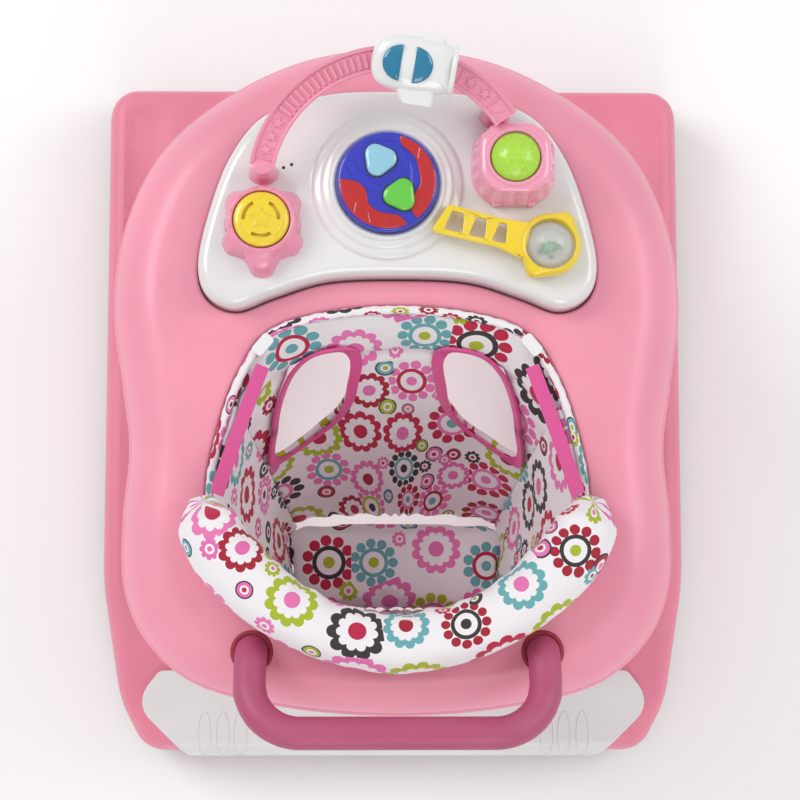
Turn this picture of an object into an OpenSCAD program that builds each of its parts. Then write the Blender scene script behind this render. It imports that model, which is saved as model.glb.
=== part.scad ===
// Baby walker: a moulded base ring on six swivel casters, a folding pair of crossed
// tube frames, a domed tray with a padded bucket seat, and a removable toy tray.
// Millimetres, +Z up, +Y forward. The origin is on the floor below the middle of the base.

/* [Base ring] */
// Width of the base ring across its bottom edge
base_w = 622; // [560:1:700]
// Length of the base ring with its bumper
base_l = 721; // [650:1:800]
// Height of the base deck above the floor
base_top = 96; // [88:1:115]
// Height of the skirt's bottom edge above the floor
skirt_z = 30; // [26:1:36]
// Wall of the moulded base
base_wall = 3; // [2.4:0.1:5]
// Width of the opening in the middle of the base
opening_w = 424; // [400:1:450]
// Length of the opening in the middle of the base
opening_l = 550; // [500:1:570]
// Radius of the opening's corners
opening_r = 32; // [20:1:36]
// Thickness of the white rear bumper
bumper_t = 6; // [4:0.5:10]

/* [Casters] */
// Diameter of a caster wheel
wheel_d = 46; // [36:1:50]
// Width of a caster wheel
wheel_w = 16; // [10:1:22]
// Distance from the swivel axis to the axle
trail = 12; // [6:1:15]
// Diameter of the swivel stem
stem_d = 10; // [7:0.5:14]
// Distance from the base edge in to the caster's swivel axis
caster_inset = 51; // [48:1:60]

/* [Folding frame] */
// Diameter of the frame tubes
tube_d = 16; // [12:1:20]
// Wall of the frame tubes
tube_wall = 1.2; // [0.8:0.1:2.5]
// Distance from a leg's pivot to its sliding end
leg_l = 400; // [380:1:420]
// Height between the base pivots and the tray pivots
stand_h = 300; // [250:1:330]
// How far the frame folds down from its highest place, in degrees
fold_angle = 38; // [20:1:39]
// Height of the base pivots above the floor
pivot_z = 72; // [66:1:80]
// Distance of the fixed pivots in front of the middle
pivot_y = 166; // [150:1:180]
// Distance from the middle to the outer frame's legs
outer_x = 187.5; // [184:0.5:190]
// Distance from the middle to the inner frame's legs
inner_x = 168; // [160:0.5:170]
// Diameter of the hinge pins
pin_d = 8; // [6:0.5:10]
// Thickness of the guide rails
rail_t = 8; // [7:0.5:9]

/* [Tray] */
// Width of the upper tray
tray_w = 512; // [480:1:560]
// Length of the upper tray
tray_l = 606; // [570:1:640]
// How far the middle of the tray lies in front of the middle of the base
tray_dy = 6; // [0:1:12]
// Height of the tray's deck above its pivots
deck_rise = 66; // [62:1:80]
// Wall of the tray
tray_wall = 3; // [2.4:0.1:5]

/* [Push handle] */
// Diameter of the push handle's tube
handle_d = 28; // [22:1:32]
// Distance between the handle's two legs
handle_w = 252; // [230:1:270]
// Length of the handle from its legs to the outside of its bar
handle_reach = 60; // [50:1:80]
// Rise of the handle above the horizontal, in degrees
handle_tilt = 24; // [15:1:40]

/* [Toy tray] */
// Height of the toy tray's top above the tray deck
toy_rise = 24; // [22:1:36]
// Wall of the toy tray
toy_wall = 2.5; // [1.8:0.1:4]
// Gap round the toy tray in its pocket
toy_gap = 2; // [1:0.5:4]
// Radius of the steering disc
disc_r = 44; // [36:1:50]
// Radius of the spinner disc
spinner_r = 24; // [18:1:26]
// Width of the light box at its top
box_w = 63; // [54:1:68]
// Radius of the dome button
dome_r = 21; // [15:1:23]
// Radius of the rattle ball
ball_r = 20; // [15:1:21]
// Radius of the slide arch in its own plane
arch_r = 116; // [105:1:122]
// Lean of the slide arch, in degrees
arch_lean = 18; // [10:1:28]

/* [Seat] */
// Height of the seat pan above the tray pivots, downwards
seat_drop = 156; // [120:1:170]
// Thickness of the seat's padded cloth
cloth_t = 6; // [4:0.5:8]
// Width of a leg hole
leg_hole_w = 68; // [56:1:74]
// Height of a leg hole along the front panel
leg_hole_h = 104; // [80:1:120]

/* [Hidden] */
$fn = 64;
slip = 0.05;         // radial clearance of a pin that turns
gap = 0.4;           // clearance between pieces that move past each other
seam = 0.3;          // clearance between neighbouring pieces that lie side by side

// ---- heights and places worked out from the driving sizes ----
fold0 = asin(stand_h / leg_l);               // slope of the legs at the highest place
run0 = leg_l * cos(fold0);                   // horizontal reach of a leg there
run1 = leg_l * cos(fold0 - fold_angle);      // horizontal reach when folded
tray_pivot_z = pivot_z + stand_h;
deck_z = tray_pivot_z + deck_rise;           // flat top of the tray
slide0_y = pivot_y - run0;
slide1_y = pivot_y - run1;
rail_x0 = outer_x + tube_d / 2 + 2.5;        // inner face of the guide rails
rail_x1 = rail_x0 + rail_t;
rail_end = 6;                                // rail beyond the pin at both ends
base_front = base_l / 2;
base_rear = base_l / 2 - bumper_t - seam;
axle_z = wheel_d / 2;
toy_z = deck_z + toy_rise;                   // flat top of the toy tray
pocket_z = deck_z - 12;                      // floor of the toy tray's pocket
floor_t = 2.5;                               // wall of the toy tray's bottom cover
shell_z = pocket_z + seam + floor_t + seam;  // bottom edge of the toy tray shell
pan_z = tray_pivot_z - seat_drop;            // underside of the seat pan

// ---- outlines ----
// Unit normal of the edge from a to b, to the right of the way along it
function edge_normal(a, b) = let (d = b - a) [d.y, -d.x] / norm(d);

// The outline moved inwards by d
function inset(p, d) = let (n = len(p)) [
    for (i = [0 : n - 1])
        let (m = edge_normal(p[(i + n - 1) % n], p[i]) + edge_normal(p[i], p[(i + 1) % n]))
        p[i] - m * 2 * d / (m * m)];

// Smooth closed curve through the given points, with k steps from each to the next
function smooth(p, k) = let (n = len(p)) [
    for (i = [0 : n - 1], s = [0 : k - 1])
        let (t = s / k, a = p[(i + n - 1) % n], b = p[i], c = p[(i + 1) % n], d = p[(i + 2) % n])
        b + (c - a) * t / 2 + (a * 2 - b * 5 + c * 4 - d) * t * t / 2
            + (b * 3 - a - c * 3 + d) * t * t * t / 2];

// Right half of an outline, from its rear middle to its front middle, completed on the left
function both_sides(half) = concat(half,
    [for (i = [len(half) - 2 : -1 : 1]) [-half[i].x, half[i].y]]);

// Polygon whose corners [x, y, r] are rounded to the radius r with k steps
function rounded(c, k) = let (n = len(c)) [
    for (i = [0 : n - 1], s = [0 : k])
        let (p = [c[i].x, c[i].y], q = c[(i + n - 1) % n], w = c[(i + 1) % n],
            u = [q.x, q.y] - p, v = [w.x, w.y] - p, un = u / norm(u), vn = v / norm(v),
            half = acos(un * vn) / 2, m = (un + vn) / norm(un + vn),
            centre = p + m * c[i].z / sin(half),
            a0 = p + un * c[i].z / tan(half) - centre,
            turn = 180 - 2 * half, t = turn * s / k,
            side = (un.x * vn.y - un.y * vn.x) > 0 ? -1 : 1)
        centre + [a0.x * cos(t) - a0.y * sin(t) * side, a0.x * sin(t) * side + a0.y * cos(t)]];

function rectangle(w, l, r, k = 6) = rounded([[-w / 2, -l / 2, r], [w / 2, -l / 2, r],
    [w / 2, l / 2, r], [-w / 2, l / 2, r]], k);

// Upright ellipse as points
function ellipse(w, h, k = 32) = [for (i = [0 : k - 1])
    [w / 2 * cos(360 * i / k), h / 2 * sin(360 * i / k)]];

function moved(p, d) = [for (q = p) q + d];
function scaled(p, s) = [for (q = p) [q.x * s.x, q.y * s.y]];

// The base narrows a little towards its rear corners
base_outline = rounded([
    [-base_w / 2, base_front, 34], [-base_w / 2, -base_rear * 0.5, 300],
    [-base_w / 2 + 20, -base_rear * 0.85, 120], [-base_w / 2 + 48, -base_rear, 34],
    [base_w / 2 - 48, -base_rear, 34], [base_w / 2 - 20, -base_rear * 0.85, 120],
    [base_w / 2, -base_rear * 0.5, 300], [base_w / 2, base_front, 34]], 7);

// The tray is a broad rounded shape with a shallow waist at both sides
tray_half = [[0, -303], [95, -296], [176, -276], [222, -238], [243, -190], [245, -130], [240, -66],
    [247, -8], [256, 64], [246, 138], [215, 204], [160, 254], [85, 291], [0, 303]];
tray_outline = moved(scaled(smooth(both_sides(tray_half), 3), [tray_w / 512, tray_l / 606]), [0, tray_dy]);

// The seat's opening in the tray
hole_half = [[0, -236], [50, -231], [97, -214], [136, -188], [160, -150], [167, -105], [158, -55],
    [141, -5], [114, 34], [66, 51], [0, 57]];
hole_outline = moved(smooth(both_sides(hole_half), 3), [0, tray_dy]);

// The toy tray is a bean with two lobes that reach back beside the seat
toy_half = [[0, 82], [62, 79], [108, 65], [142, 53], [167, 64], [175, 92], [166, 138], [147, 189],
    [116, 226], [62, 244], [0, 247]];
toy_outline = moved(smooth(both_sides(toy_half), 3), [0, tray_dy]);

// ---- shapes ----
// Closed solid through outlines of equal length, given as [outline, height] from bottom to top
module loft(rings) {
    n = len(rings[0][0]);
    last = len(rings) - 1;
    polyhedron(
        points = [for (r = rings, p = r[0]) [p.x, p.y, r[1]]],
        faces = concat([[for (i = [0 : n - 1]) i]],
            [for (k = [0 : last - 1], i = [0 : n - 1])
                let (j = (i + 1) % n) [k * n + i, (k + 1) * n + i, (k + 1) * n + j, k * n + j]],
            [[for (i = [n - 1 : -1 : 0]) last * n + i]]));
}

// Prism of an outline between two heights
module prism(outline, z0, z1) {
    translate([0, 0, z0]) linear_extrude(z1 - z0) polygon(outline);
}

module bar_x(r, x0, x1, y, z) {
    translate([x0, y, z]) rotate([0, 90, 0]) cylinder(r = r, h = x1 - x0);
}

module block(x0, x1, y0, y1, z0, z1) {
    translate([x0, y0, z0]) cube([x1 - x0, y1 - y0, z1 - z0]);
}

// The children on both sides of the middle plane
module pair() {
    children();
    mirror([1, 0, 0]) children();
}

// ---- base ----
base_profile = [[0, skirt_z], [0, skirt_z + 12], [5, base_top - 18], [11, base_top - 6], [22, base_top]];

// Body of the base grown by g
module base_body(g) {
    loft([for (s = base_profile) let (up = s[1] > base_top - 20 ? g : 0, down = s[1] == skirt_z ? g : 0)
        [inset(base_outline, s[0] - g), s[1] + up - down]]);
}

opening_outline = rectangle(opening_w, opening_l, opening_r);
caster_x = base_w / 2 - caster_inset;
caster_places = [[caster_x, base_front - caster_inset - 5], [-caster_x, base_front - caster_inset - 5],
    [caster_x, 0], [-caster_x, 0],
    [caster_x - 22, -base_rear + caster_inset + 5], [-caster_x + 22, -base_rear + caster_inset + 5]];
stem_z0 = wheel_d + 4;
stem_z1 = base_top - 12;

module base_shell() {
    color("#e88aa6") {
        difference() {
            union() {
                difference() {
                    base_body(0);
                    difference() {
                        base_body(-base_wall);
                        prism(inset(opening_outline, -base_wall), 0, base_top);
                    }
                    prism(inset(base_outline, base_wall), skirt_z - 2, skirt_z + base_wall + 1);
                }
                intersection() {
                    prism(inset(opening_outline, -base_wall), skirt_z, base_top - 1);
                    base_body(0);
                }
                for (c = caster_places)
                    translate([c.x, c.y, stem_z0 + 2]) cylinder(d = stem_d + 8, h = base_top - stem_z0 - 3);
            }
            prism(opening_outline, 0, base_top + 5);
            for (c = caster_places)
                translate([c.x, c.y, stem_z0 - 3])
                    cylinder(d = stem_d + 2 * slip, h = stem_z1 + gap - stem_z0 + 3);
        }
    }
}

// The bumper is a skin over the rear slope of the base
bumper_outline = [[-244, -base_rear + 86], [-270, -base_rear + 52], [-196, -base_rear - 20],
    [196, -base_rear - 20], [270, -base_rear + 52], [244, -base_rear + 86]];

module rear_bumper() {
    color("#f0efee") intersection() {
        prism(bumper_outline, skirt_z + 6, base_top + bumper_t);
        difference() {
            base_body(bumper_t + seam);
            base_body(seam);
        }
    }
}

// Rubber strips below the skirt, which drag on the floor when a wheel drops off an edge
pad_places = [[0, base_front - 45, 0], [0, -base_rear + 45, 0],
    [base_w / 2 - 45, 150, 90], [base_w / 2 - 45, -150, 90], [-base_w / 2 + 45, 150, 90],
    [-base_w / 2 + 45, -150, 90]];
pad_l = 90;
pad_z = 14;

module stopper_pads() {
    color("#3a3a3c") for (p = pad_places)
        translate([p.x, p.y, 0]) rotate(p.z) {
            prism(rectangle(pad_l, 14, 6.9), pad_z, pad_z + 10);
            prism(rectangle(pad_l - 10, 6, 2.9), pad_z + 10, base_top - base_wall - seam);
        }
}

// Channel plate with a pivot hole in front and a blind slot that the sliding pin runs in
module rail_plate(x1, z, height) {
    y0 = slide1_y - pin_d / 2 - rail_end;
    y1 = pivot_y + pin_d / 2 + rail_end;
    difference() {
        block(rail_x0, x1, y0, y1, z - height / 2, z + height / 2);
        bar_x(pin_d / 2 + slip, rail_x0 - 1, rail_x1 - 2, pivot_y, z);
        block(rail_x0 - 1, rail_x1 - 2, slide1_y, slide0_y, z - pin_d / 2 - gap, z + pin_d / 2 + gap);
        for (y = [slide1_y, slide0_y])
            bar_x(pin_d / 2 + gap, rail_x0 - 1, rail_x1 - 2, y, z);
    }
}
rail_h = 26;
screw_y = (slide0_y + pivot_y) / 2;
screw_r = 2.1;

module base_rails() {
    color("#c9788f") pair() difference() {
        rail_plate(opening_w / 2 - seam / 3, pivot_z, rail_h);
        bar_x(screw_r + 0.1, rail_x0 - 1, opening_w / 2 + 1, screw_y, pivot_z);
    }
}

module base_screws() {
    color("#b9bcc0") pair() {
        bar_x(screw_r, rail_x0 - 0.5, opening_w / 2 - seam, screw_y, pivot_z);
        bar_x(2 * screw_r - 0.2, rail_x0 - 2.2, rail_x0 - 0.1, screw_y, pivot_z);
    }
}

// ---- casters ----
fork_gap = wheel_w / 2 + 1;
fork_t = 3;
axle_r = 2.5;

module caster_fork(i) {
    c = caster_places[i];
    color("#e8e8ea") translate([c.x, c.y, 0]) {
        translate([0, 0, stem_z0 - 0.5]) cylinder(d = stem_d, h = stem_z1 - stem_z0);
        difference() {
            union() {
                translate([0, 0, wheel_d + 1]) cylinder(r = fork_gap + fork_t, h = 3);
                for (s = [-1, 1]) translate([s * (fork_gap + fork_t / 2), 0, 0]) hull() {
                    translate([-fork_t / 2, -trail - 6, axle_z - 6]) cube([fork_t, 12, 6]);
                    translate([-fork_t / 2, -trail, wheel_d + 1]) cube([fork_t, trail + 6, 1]);
                }
                translate([-fork_gap - fork_t, -trail, wheel_d + 1])
                    cube([2 * (fork_gap + fork_t), trail + 6, 3]);
            }
            bar_x(axle_r, -fork_gap - fork_t - 1, fork_gap + fork_t + 1, -trail, axle_z);
        }
    }
}

// Half of a wheel's section from its bore to its tread, as radius and half width
wheel_half = [[axle_r + slip, wheel_w / 2], [8, wheel_w / 2], [10, wheel_w / 2 - 3],
    [wheel_d / 2 - 6, wheel_w / 2 - 3], [wheel_d / 2 - 4, wheel_w / 2], [wheel_d / 2 - 1, wheel_w / 2 - 1],
    [wheel_d / 2, wheel_w / 4]];

module caster_wheel(i) {
    c = caster_places[i];
    color("#2f2f31") translate([c.x, c.y - trail, axle_z]) rotate([0, 90, 0])
        rotate_extrude() polygon(concat([for (p = wheel_half) [p.x, -p.y]],
            [for (i = [len(wheel_half) - 1 : -1 : 0]) wheel_half[i]]));
}

module caster_axle(i) {
    c = caster_places[i];
    color("#9a9da1") bar_x(axle_r, c.x - fork_gap - fork_t, c.x + fork_gap + fork_t, c.y - trail, axle_z);
}

// ---- folding frame ----
bend_r = 34;                 // radius of the tube's centre line at the corners
tail = 46;                   // distance from the pivots to the crossbar
leg_end = 14;                // tube beyond the sliding pin

// U-shaped tube in the XY plane: pivots on y = 0, crossbar at y = tail, legs run towards -Y
module u_solid(x, r) {
    for (s = [-1, 1]) {
        translate([s * x, -leg_l - leg_end, 0]) rotate([-90, 0, 0])
            cylinder(r = r, h = leg_l + leg_end + tail - bend_r);
        translate([s * (x - bend_r), tail - bend_r, 0]) rotate(s > 0 ? 0 : 90)
            rotate_extrude(angle = 90) translate([bend_r, 0]) circle(r = r, $fn = 32);
    }
    bar_x(r, -x + bend_r, x - bend_r, tail, 0);
}

module u_tube(x) {
    difference() {
        u_solid(x, tube_d / 2);
        u_solid(x, tube_d / 2 - tube_wall);
        for (s = [-1, 1]) translate([s * x, -leg_l - leg_end - 1, 0]) rotate([-90, 0, 0])
            cylinder(r = tube_d / 2 - tube_wall, h = 3);
        for (y = [0, -leg_l / 2, -leg_l])
            bar_x(pin_d / 2 + slip, -x - tube_d, x + tube_d, y, 0);
    }
}

module at_outer() {
    translate([0, pivot_y, pivot_z]) rotate([-fold0, 0, 0]) children();
}

module at_inner() {
    translate([0, pivot_y, tray_pivot_z]) rotate([fold0, 0, 0]) children();
}

module outer_frame() {
    color("#f2f2f2") at_outer() u_tube(outer_x);
}

module inner_frame() {
    color("#f2f2f2") at_inner() u_tube(inner_x);
}

// Pins held in the legs of a frame, which reach into the guide rails
module frame_pins(x) {
    for (y = [0, -leg_l]) pair() {
        bar_x(pin_d / 2, x - tube_d / 2, rail_x1 - 3, y, 0);
        bar_x(pin_d / 2 + 2, x - tube_d / 2 - 2, x - tube_d / 2 - 0.05, y, 0);
    }
}

module outer_frame_pins() {
    color("#a4a7ab") at_outer() frame_pins(outer_x);
}

module inner_frame_pins() {
    color("#a4a7ab") at_inner() frame_pins(inner_x);
}

module cross_rivets() {
    y = pivot_y - run0 / 2;
    z = pivot_z + stand_h / 2;
    color("#a4a7ab") pair() {
        bar_x(pin_d / 2, inner_x - tube_d / 2 - 1, outer_x + tube_d / 2, y, z);
        bar_x(pin_d / 2 + 2, outer_x + tube_d / 2 + 0.05, outer_x + tube_d / 2 + 2, y, z);
        bar_x(pin_d / 2 + 2, inner_x - tube_d / 2 - 3, inner_x - tube_d / 2 - 1, y, z);
    }
}

// ---- tray ----
skirt_drop = 6;              // skirt below the tray pivots
tray_profile = [[5, tray_pivot_z - skirt_drop], [2, tray_pivot_z + 12], [0, tray_pivot_z + 22],
    [3, tray_pivot_z + 32], [14, deck_z - 18], [30, deck_z - 5], [46, deck_z]];

module tray_body(d) {
    loft([for (s = tray_profile) [inset(tray_outline, s[0] + d), s[1] - (s[1] > tray_pivot_z ? d : 0)]]);
}

boss_y = [slide1_y + 4, (slide0_y + pivot_y) / 2, pivot_y - 12];
latch_w = 60;
latch_y = 222 + tray_dy;
socket_y = -245 + tray_dy;
socket_depth = 30;

module tray_bosses() {
    for (s = [-1, 1]) {
        for (y = boss_y)
            translate([s * (rail_x0 + rail_t / 2), y, tray_pivot_z + rail_h / 2 + seam])
                cylinder(r = 5, h = deck_z - tray_pivot_z);
        translate([s * handle_w / 2, socket_y, deck_z - socket_depth - 3])
            cylinder(d = handle_d + 7, h = socket_depth + 3);
    }
    block(-latch_w / 2 - 5, latch_w / 2 + 5, latch_y, latch_y + 30, tray_pivot_z + 8, deck_z);
}

module upper_tray() {
    color("#ee95ae") difference() {
        union() {
            difference() {
                tray_body(0);
                tray_body(tray_wall);
                prism(inset(tray_outline, 7 + tray_wall), tray_pivot_z - skirt_drop - 1, tray_pivot_z + 14);
            }
            intersection() {
                tray_body(0.5);
                union() {
                    prism(inset(hole_outline, -tray_wall), deck_z - 30, deck_z);
                    prism(inset(toy_outline, -toy_gap - tray_wall), pocket_z - tray_wall, deck_z);
                    tray_bosses();
                }
            }
        }
        prism(hole_outline, tray_pivot_z - 20, deck_z + 5);
        prism(inset(toy_outline, -toy_gap), pocket_z, deck_z + 5);
        for (s = [-1, 1]) translate([s * handle_w / 2, socket_y, deck_z - socket_depth])
            cylinder(d = handle_d + 0.2, h = socket_depth + 10);
        block(-latch_w / 2 - gap, latch_w / 2 + gap, latch_y - 1, latch_y + 40, tray_pivot_z + 12 - gap,
            tray_pivot_z + 18 + gap);
    }
}

module tray_rails() {
    color("#c9788f") pair() rail_plate(rail_x1, tray_pivot_z, rail_h);
}

// Sliding plate below the front of the tray that holds the chosen height
module height_latch() {
    color("#c8527a") {
        block(-latch_w / 2, latch_w / 2, latch_y - 6, latch_y + 32, tray_pivot_z + 12, tray_pivot_z + 18);
        block(-latch_w / 2, latch_w / 2, latch_y + 32, latch_y + 40, tray_pivot_z - 2, tray_pivot_z + 18);
    }
}

// ---- push handle ----
handle_bend = 44;              // radius of the corners beside the bar
elbow_r = 20;                  // radius of the bends above the sockets
elbow_z = deck_z + 2;
elbow_turn = 90 - handle_tilt;

// The plane that the handle's bar and legs lie in, at the end of the bends above the sockets
module at_handle() {
    translate([0, socket_y - elbow_r + elbow_r * cos(elbow_turn), elbow_z + elbow_r * sin(elbow_turn)])
        rotate([-handle_tilt, 0, 0]) children();
}

// Tubes that stand in the sockets and bend back
module handle_stubs() {
    for (s = [-1, 1]) translate([s * handle_w / 2, socket_y, 0]) {
        translate([0, 0, deck_z - socket_depth + 1])
            cylinder(d = handle_d, h = elbow_z - deck_z + socket_depth - 1);
        translate([0, -elbow_r, elbow_z]) rotate([90, 0, 90]) rotate_extrude(angle = elbow_turn)
            translate([elbow_r, 0]) circle(d = handle_d, $fn = 32);
    }
}

// The flat U of the legs, corners and bar, cut along the seam: the part between two heights
module handle_bow(z0, z1) {
    leg = handle_reach - handle_bend;
    at_handle() intersection() {
        union() {
            for (s = [-1, 1]) {
                translate([s * handle_w / 2, 0, 0]) rotate([90, 0, 0]) cylinder(d = handle_d, h = leg);
                translate([s * (handle_w / 2 - handle_bend), -leg, 0]) rotate(s > 0 ? 270 : 180)
                    rotate_extrude(angle = 90) translate([handle_bend, 0]) circle(d = handle_d, $fn = 32);
            }
            bar_x(handle_d / 2, -handle_w / 2 + handle_bend, handle_w / 2 - handle_bend,
                -leg - handle_bend, 0);
        }
        block(-handle_w, handle_w, -handle_w, 1, z0, z1);
    }
}
seam_depth = 4;

module handle_stems() {
    color("#bb5584") handle_stubs();
}

module handle_upper() {
    color("#bb5584") handle_bow(-seam_depth, handle_d);
}

module handle_lower() {
    color("#b14f7c") handle_bow(-handle_d, -seam_depth - slip);
}

// ---- toy tray ----
disc_c = [-9, 160 + tray_dy];
spinner_c = [-118, 126 + tray_dy];
box_c = [101, 178 + tray_dy];
ball_c = [132, 106 + tray_dy];
bar_c = [70, 121 + tray_dy];
ball_z = toy_z + ball_r - 8;
disc_z = toy_z + 13;
toy_step = 4;                // chamfer step round the top
sound_holes = [[-100, 176 + tray_dy], [-93, 178.8 + tray_dy]];

module toy_body(d) {
    prism(inset(toy_outline, d), shell_z, toy_z - toy_step - d);
    prism(inset(toy_outline, d + toy_step), shell_z, toy_z - d);
}

module at_xy(c) {
    translate([c.x, c.y, 0]) children();
}

module toy_tray() {
    color("#f3f2f1") difference() {
        union() {
            difference() {
                toy_body(0);
                toy_body(toy_wall);
                prism(inset(toy_outline, toy_wall), shell_z - 1, shell_z + 4);
            }
            at_xy(disc_c) for (s = [[21, 4], [13, 8], [5, 12]])
                translate([0, 0, toy_z - 1]) cylinder(r = disc_r + s[0], h = s[1] + 1);
            at_xy(disc_c) translate([0, 0, toy_z - 14]) cylinder(r = 11, h = 20);
        }
        at_xy(disc_c) {
            translate([0, 0, toy_z + 6]) cylinder(r = disc_r + 1, h = 20);
            translate([0, 0, toy_z - 20]) cylinder(r = 6 + slip, h = 40);
            translate([0, 0, toy_z - 5]) difference() {
                cylinder(r = disc_r - 3, h = 8);
                cylinder(r = 11, h = 8);
            }
        }
        for (c = sound_holes) at_xy(c) translate([0, 0, toy_z - 5]) cylinder(r = 1.3, h = 10);
        at_xy(ball_c) translate([0, 0, toy_z - 4]) cylinder(r = ball_r + 2, h = 8);
    }
}

// Battery compartment in the bottom cover
battery_r = 7;
battery_l = 50;
bay_c = [-30, 205 + tray_dy];
bay_w = battery_l + 8;
bay_l = 2 * battery_r * 2 + 6;

module toy_tray_base() {
    z0 = pocket_z + seam;
    color("#e6e4e2") difference() {
        union() {
            prism(inset(toy_outline, 0.5), z0, z0 + floor_t);
            at_xy(bay_c) prism(rectangle(bay_w + 4, bay_l + 4, 3), z0 + floor_t - 0.5, z0 + floor_t + 6);
        }
        at_xy(bay_c) {
            prism(rectangle(bay_w, bay_l, 2), z0 + floor_t - 0.01, z0 + floor_t + 8);
            prism(rectangle(bay_w - 4, bay_l - 4, 2), z0 - 1, z0 + floor_t + 1);
        }
    }
}

module battery_door() {
    z0 = pocket_z + seam;
    color("#d9d7d5") at_xy(bay_c) prism(rectangle(bay_w - 5, bay_l - 5, 2), z0, z0 + floor_t - 0.2);
}

module batteries() {
    z = pocket_z + seam + floor_t + battery_r + 0.2;
    color("#b7892e") for (s = [-1, 1])
        bar_x(battery_r, bay_c.x - battery_l / 2, bay_c.x + battery_l / 2,
            bay_c.y + s * (battery_r + 0.6), z);
}

module circuit_board() {
    color("#2e7d4f") {
        block(40, 90, 120 + tray_dy, 160 + tray_dy, deck_z - 2, deck_z - 0.4);
        block(50, 62, 130 + tray_dy, 142 + tray_dy, deck_z - 0.4, deck_z + 2);
    }
    color("#2e7d4f") for (y = [124, 156])
        translate([45, y + tray_dy, shell_z - seam]) cylinder(r = 2.5, h = deck_z - 2 - shell_z + seam);
}

module speaker() {
    color("#3d3d40") translate([-96, 178 + tray_dy, 0]) {
        translate([0, 0, toy_z - toy_wall - 5]) cylinder(r = 14, h = 4.5);
        translate([0, 0, toy_z - toy_wall - 11]) cylinder(r = 8, h = 6);
    }
}

// ---- steering disc ----
disc_h = 14;
button_travel = 3;
blue_c = [-8, 20];
green_c = [8, -14];
button_r = 11;

function triangle(r, turn) = rounded([for (i = [0 : 2])
    [r * 1.5 * cos(turn + 120 * i), r * 1.5 * sin(turn + 120 * i), r * 0.42]], 5);

lens_turns = [12, 205];

// A lens lies between the disc's rim and a round edge towards the middle, made smaller by d
module lens_2d(d) {
    intersection() {
        circle(r = disc_r - 2 - d);
        translate([disc_r * 0.98, 0, 0]) circle(r = disc_r * 0.62 - d);
    }
}

module steering_wheel() {
    color("#2c3cb8") at_xy(disc_c) {
        difference() {
            union() {
                translate([0, 0, toy_z + 7]) cylinder(r = disc_r, h = disc_h - 3);
                translate([0, 0, toy_z + 4 + disc_h]) cylinder(r1 = disc_r, r2 = disc_r - 4, h = 3);
                translate([0, 0, toy_z - 15]) cylinder(r = 6, h = 24);
            }
            for (a = lens_turns) rotate(a)
                translate([0, 0, toy_z + 2 + disc_h]) linear_extrude(10) lens_2d(0);
            for (b = [[blue_c, 0], [green_c, 180]]) translate([b[0].x, b[0].y, toy_z + 1 + disc_h])
                linear_extrude(10) polygon(triangle(button_r + gap, b[1]));
        }
        translate([0, 0, toy_z - 18]) cylinder(r = 9, h = 3.5);
    }
}

module wheel_lenses() {
    color("#c41414") at_xy(disc_c) for (a = lens_turns) rotate(a)
        translate([0, 0, toy_z + 2.05 + disc_h]) linear_extrude(4) lens_2d(0.2);
}

module disc_button(c, turn) {
    at_xy(disc_c) translate([c.x, c.y, toy_z + 1 + button_travel + 0.5 + disc_h]) {
        linear_extrude(5) polygon(triangle(button_r, turn));
        translate([0, 0, 5]) linear_extrude(1.5) polygon(triangle(button_r - 1.2, turn));
    }
}

module blue_button() {
    color("#9ad0e6") disc_button(blue_c, 0);
}

module green_button() {
    color("#6cd03c") disc_button(green_c, 180);
}

// ---- slide arch and plane ----
arch_c = [-4, 148 + tray_dy, toy_z + 21];
arch_w = 20;
arch_t = 7;
arch_from = 34;
arch_to = 168;
foot_w = 16;
foot_l = 9;
feet = [[arch_c.x + arch_r * cos(arch_to), 170 + tray_dy, toy_z + 28],
    [85, 221 + tray_dy, toy_z + 42]];

module at_arch() {
    translate(arch_c) rotate([arch_lean, 0, 0]) children();
}

// Cross-section of the track grown by d: a flat band with raised edges
module track_2d(d) {
    polygon([[-arch_w / 2 - d, -arch_t / 2 - d], [arch_w / 2 + d, -arch_t / 2 - d],
        [arch_w / 2 + d, arch_t / 2 + d], [arch_w / 2 - 3 - d, arch_t / 2 + d],
        [arch_w / 2 - 4 - d, arch_t / 2 - 2 + d], [-arch_w / 2 + 4 + d, arch_t / 2 - 2 + d],
        [-arch_w / 2 + 3 + d, arch_t / 2 + d], [-arch_w / 2 - d, arch_t / 2 + d]]);
}

module slide_arch() {
    color("#ef9ab3") {
        difference() {
            for (f = feet) at_xy(f) prism(rectangle(foot_w, foot_l, 2), toy_z - 8, f.z);
            toy_body(-slip);
        }
        at_arch() rotate(arch_from) rotate_extrude(angle = arch_to - arch_from)
            translate([arch_r, 0]) track_2d(0);
    }
}

plane_turn = 81;
plane_l = 72;
bulge = arch_r - sqrt(arch_r * arch_r - plane_l * plane_l / 4);   // bow of the track along the plane

// Places a child on the track, x along it and y outwards from the arch's middle
module at_plane() {
    at_arch() rotate(plane_turn) translate([arch_r, 0, 0]) rotate(-90) children();
}

plane_half = [[-36, 0], [-34, -10], [-26, -17], [-10, -20], [6, -20], [22, -19], [32, -16], [36, -14]];
plane_outline = smooth(concat(plane_half, [for (i = [len(plane_half) - 1 : -1 : 1])
    [plane_half[i].x, -plane_half[i].y]]), 3);
plane_z0 = -arch_t / 2 - 6;
plane_z1 = arch_t / 2 + 15;
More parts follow.
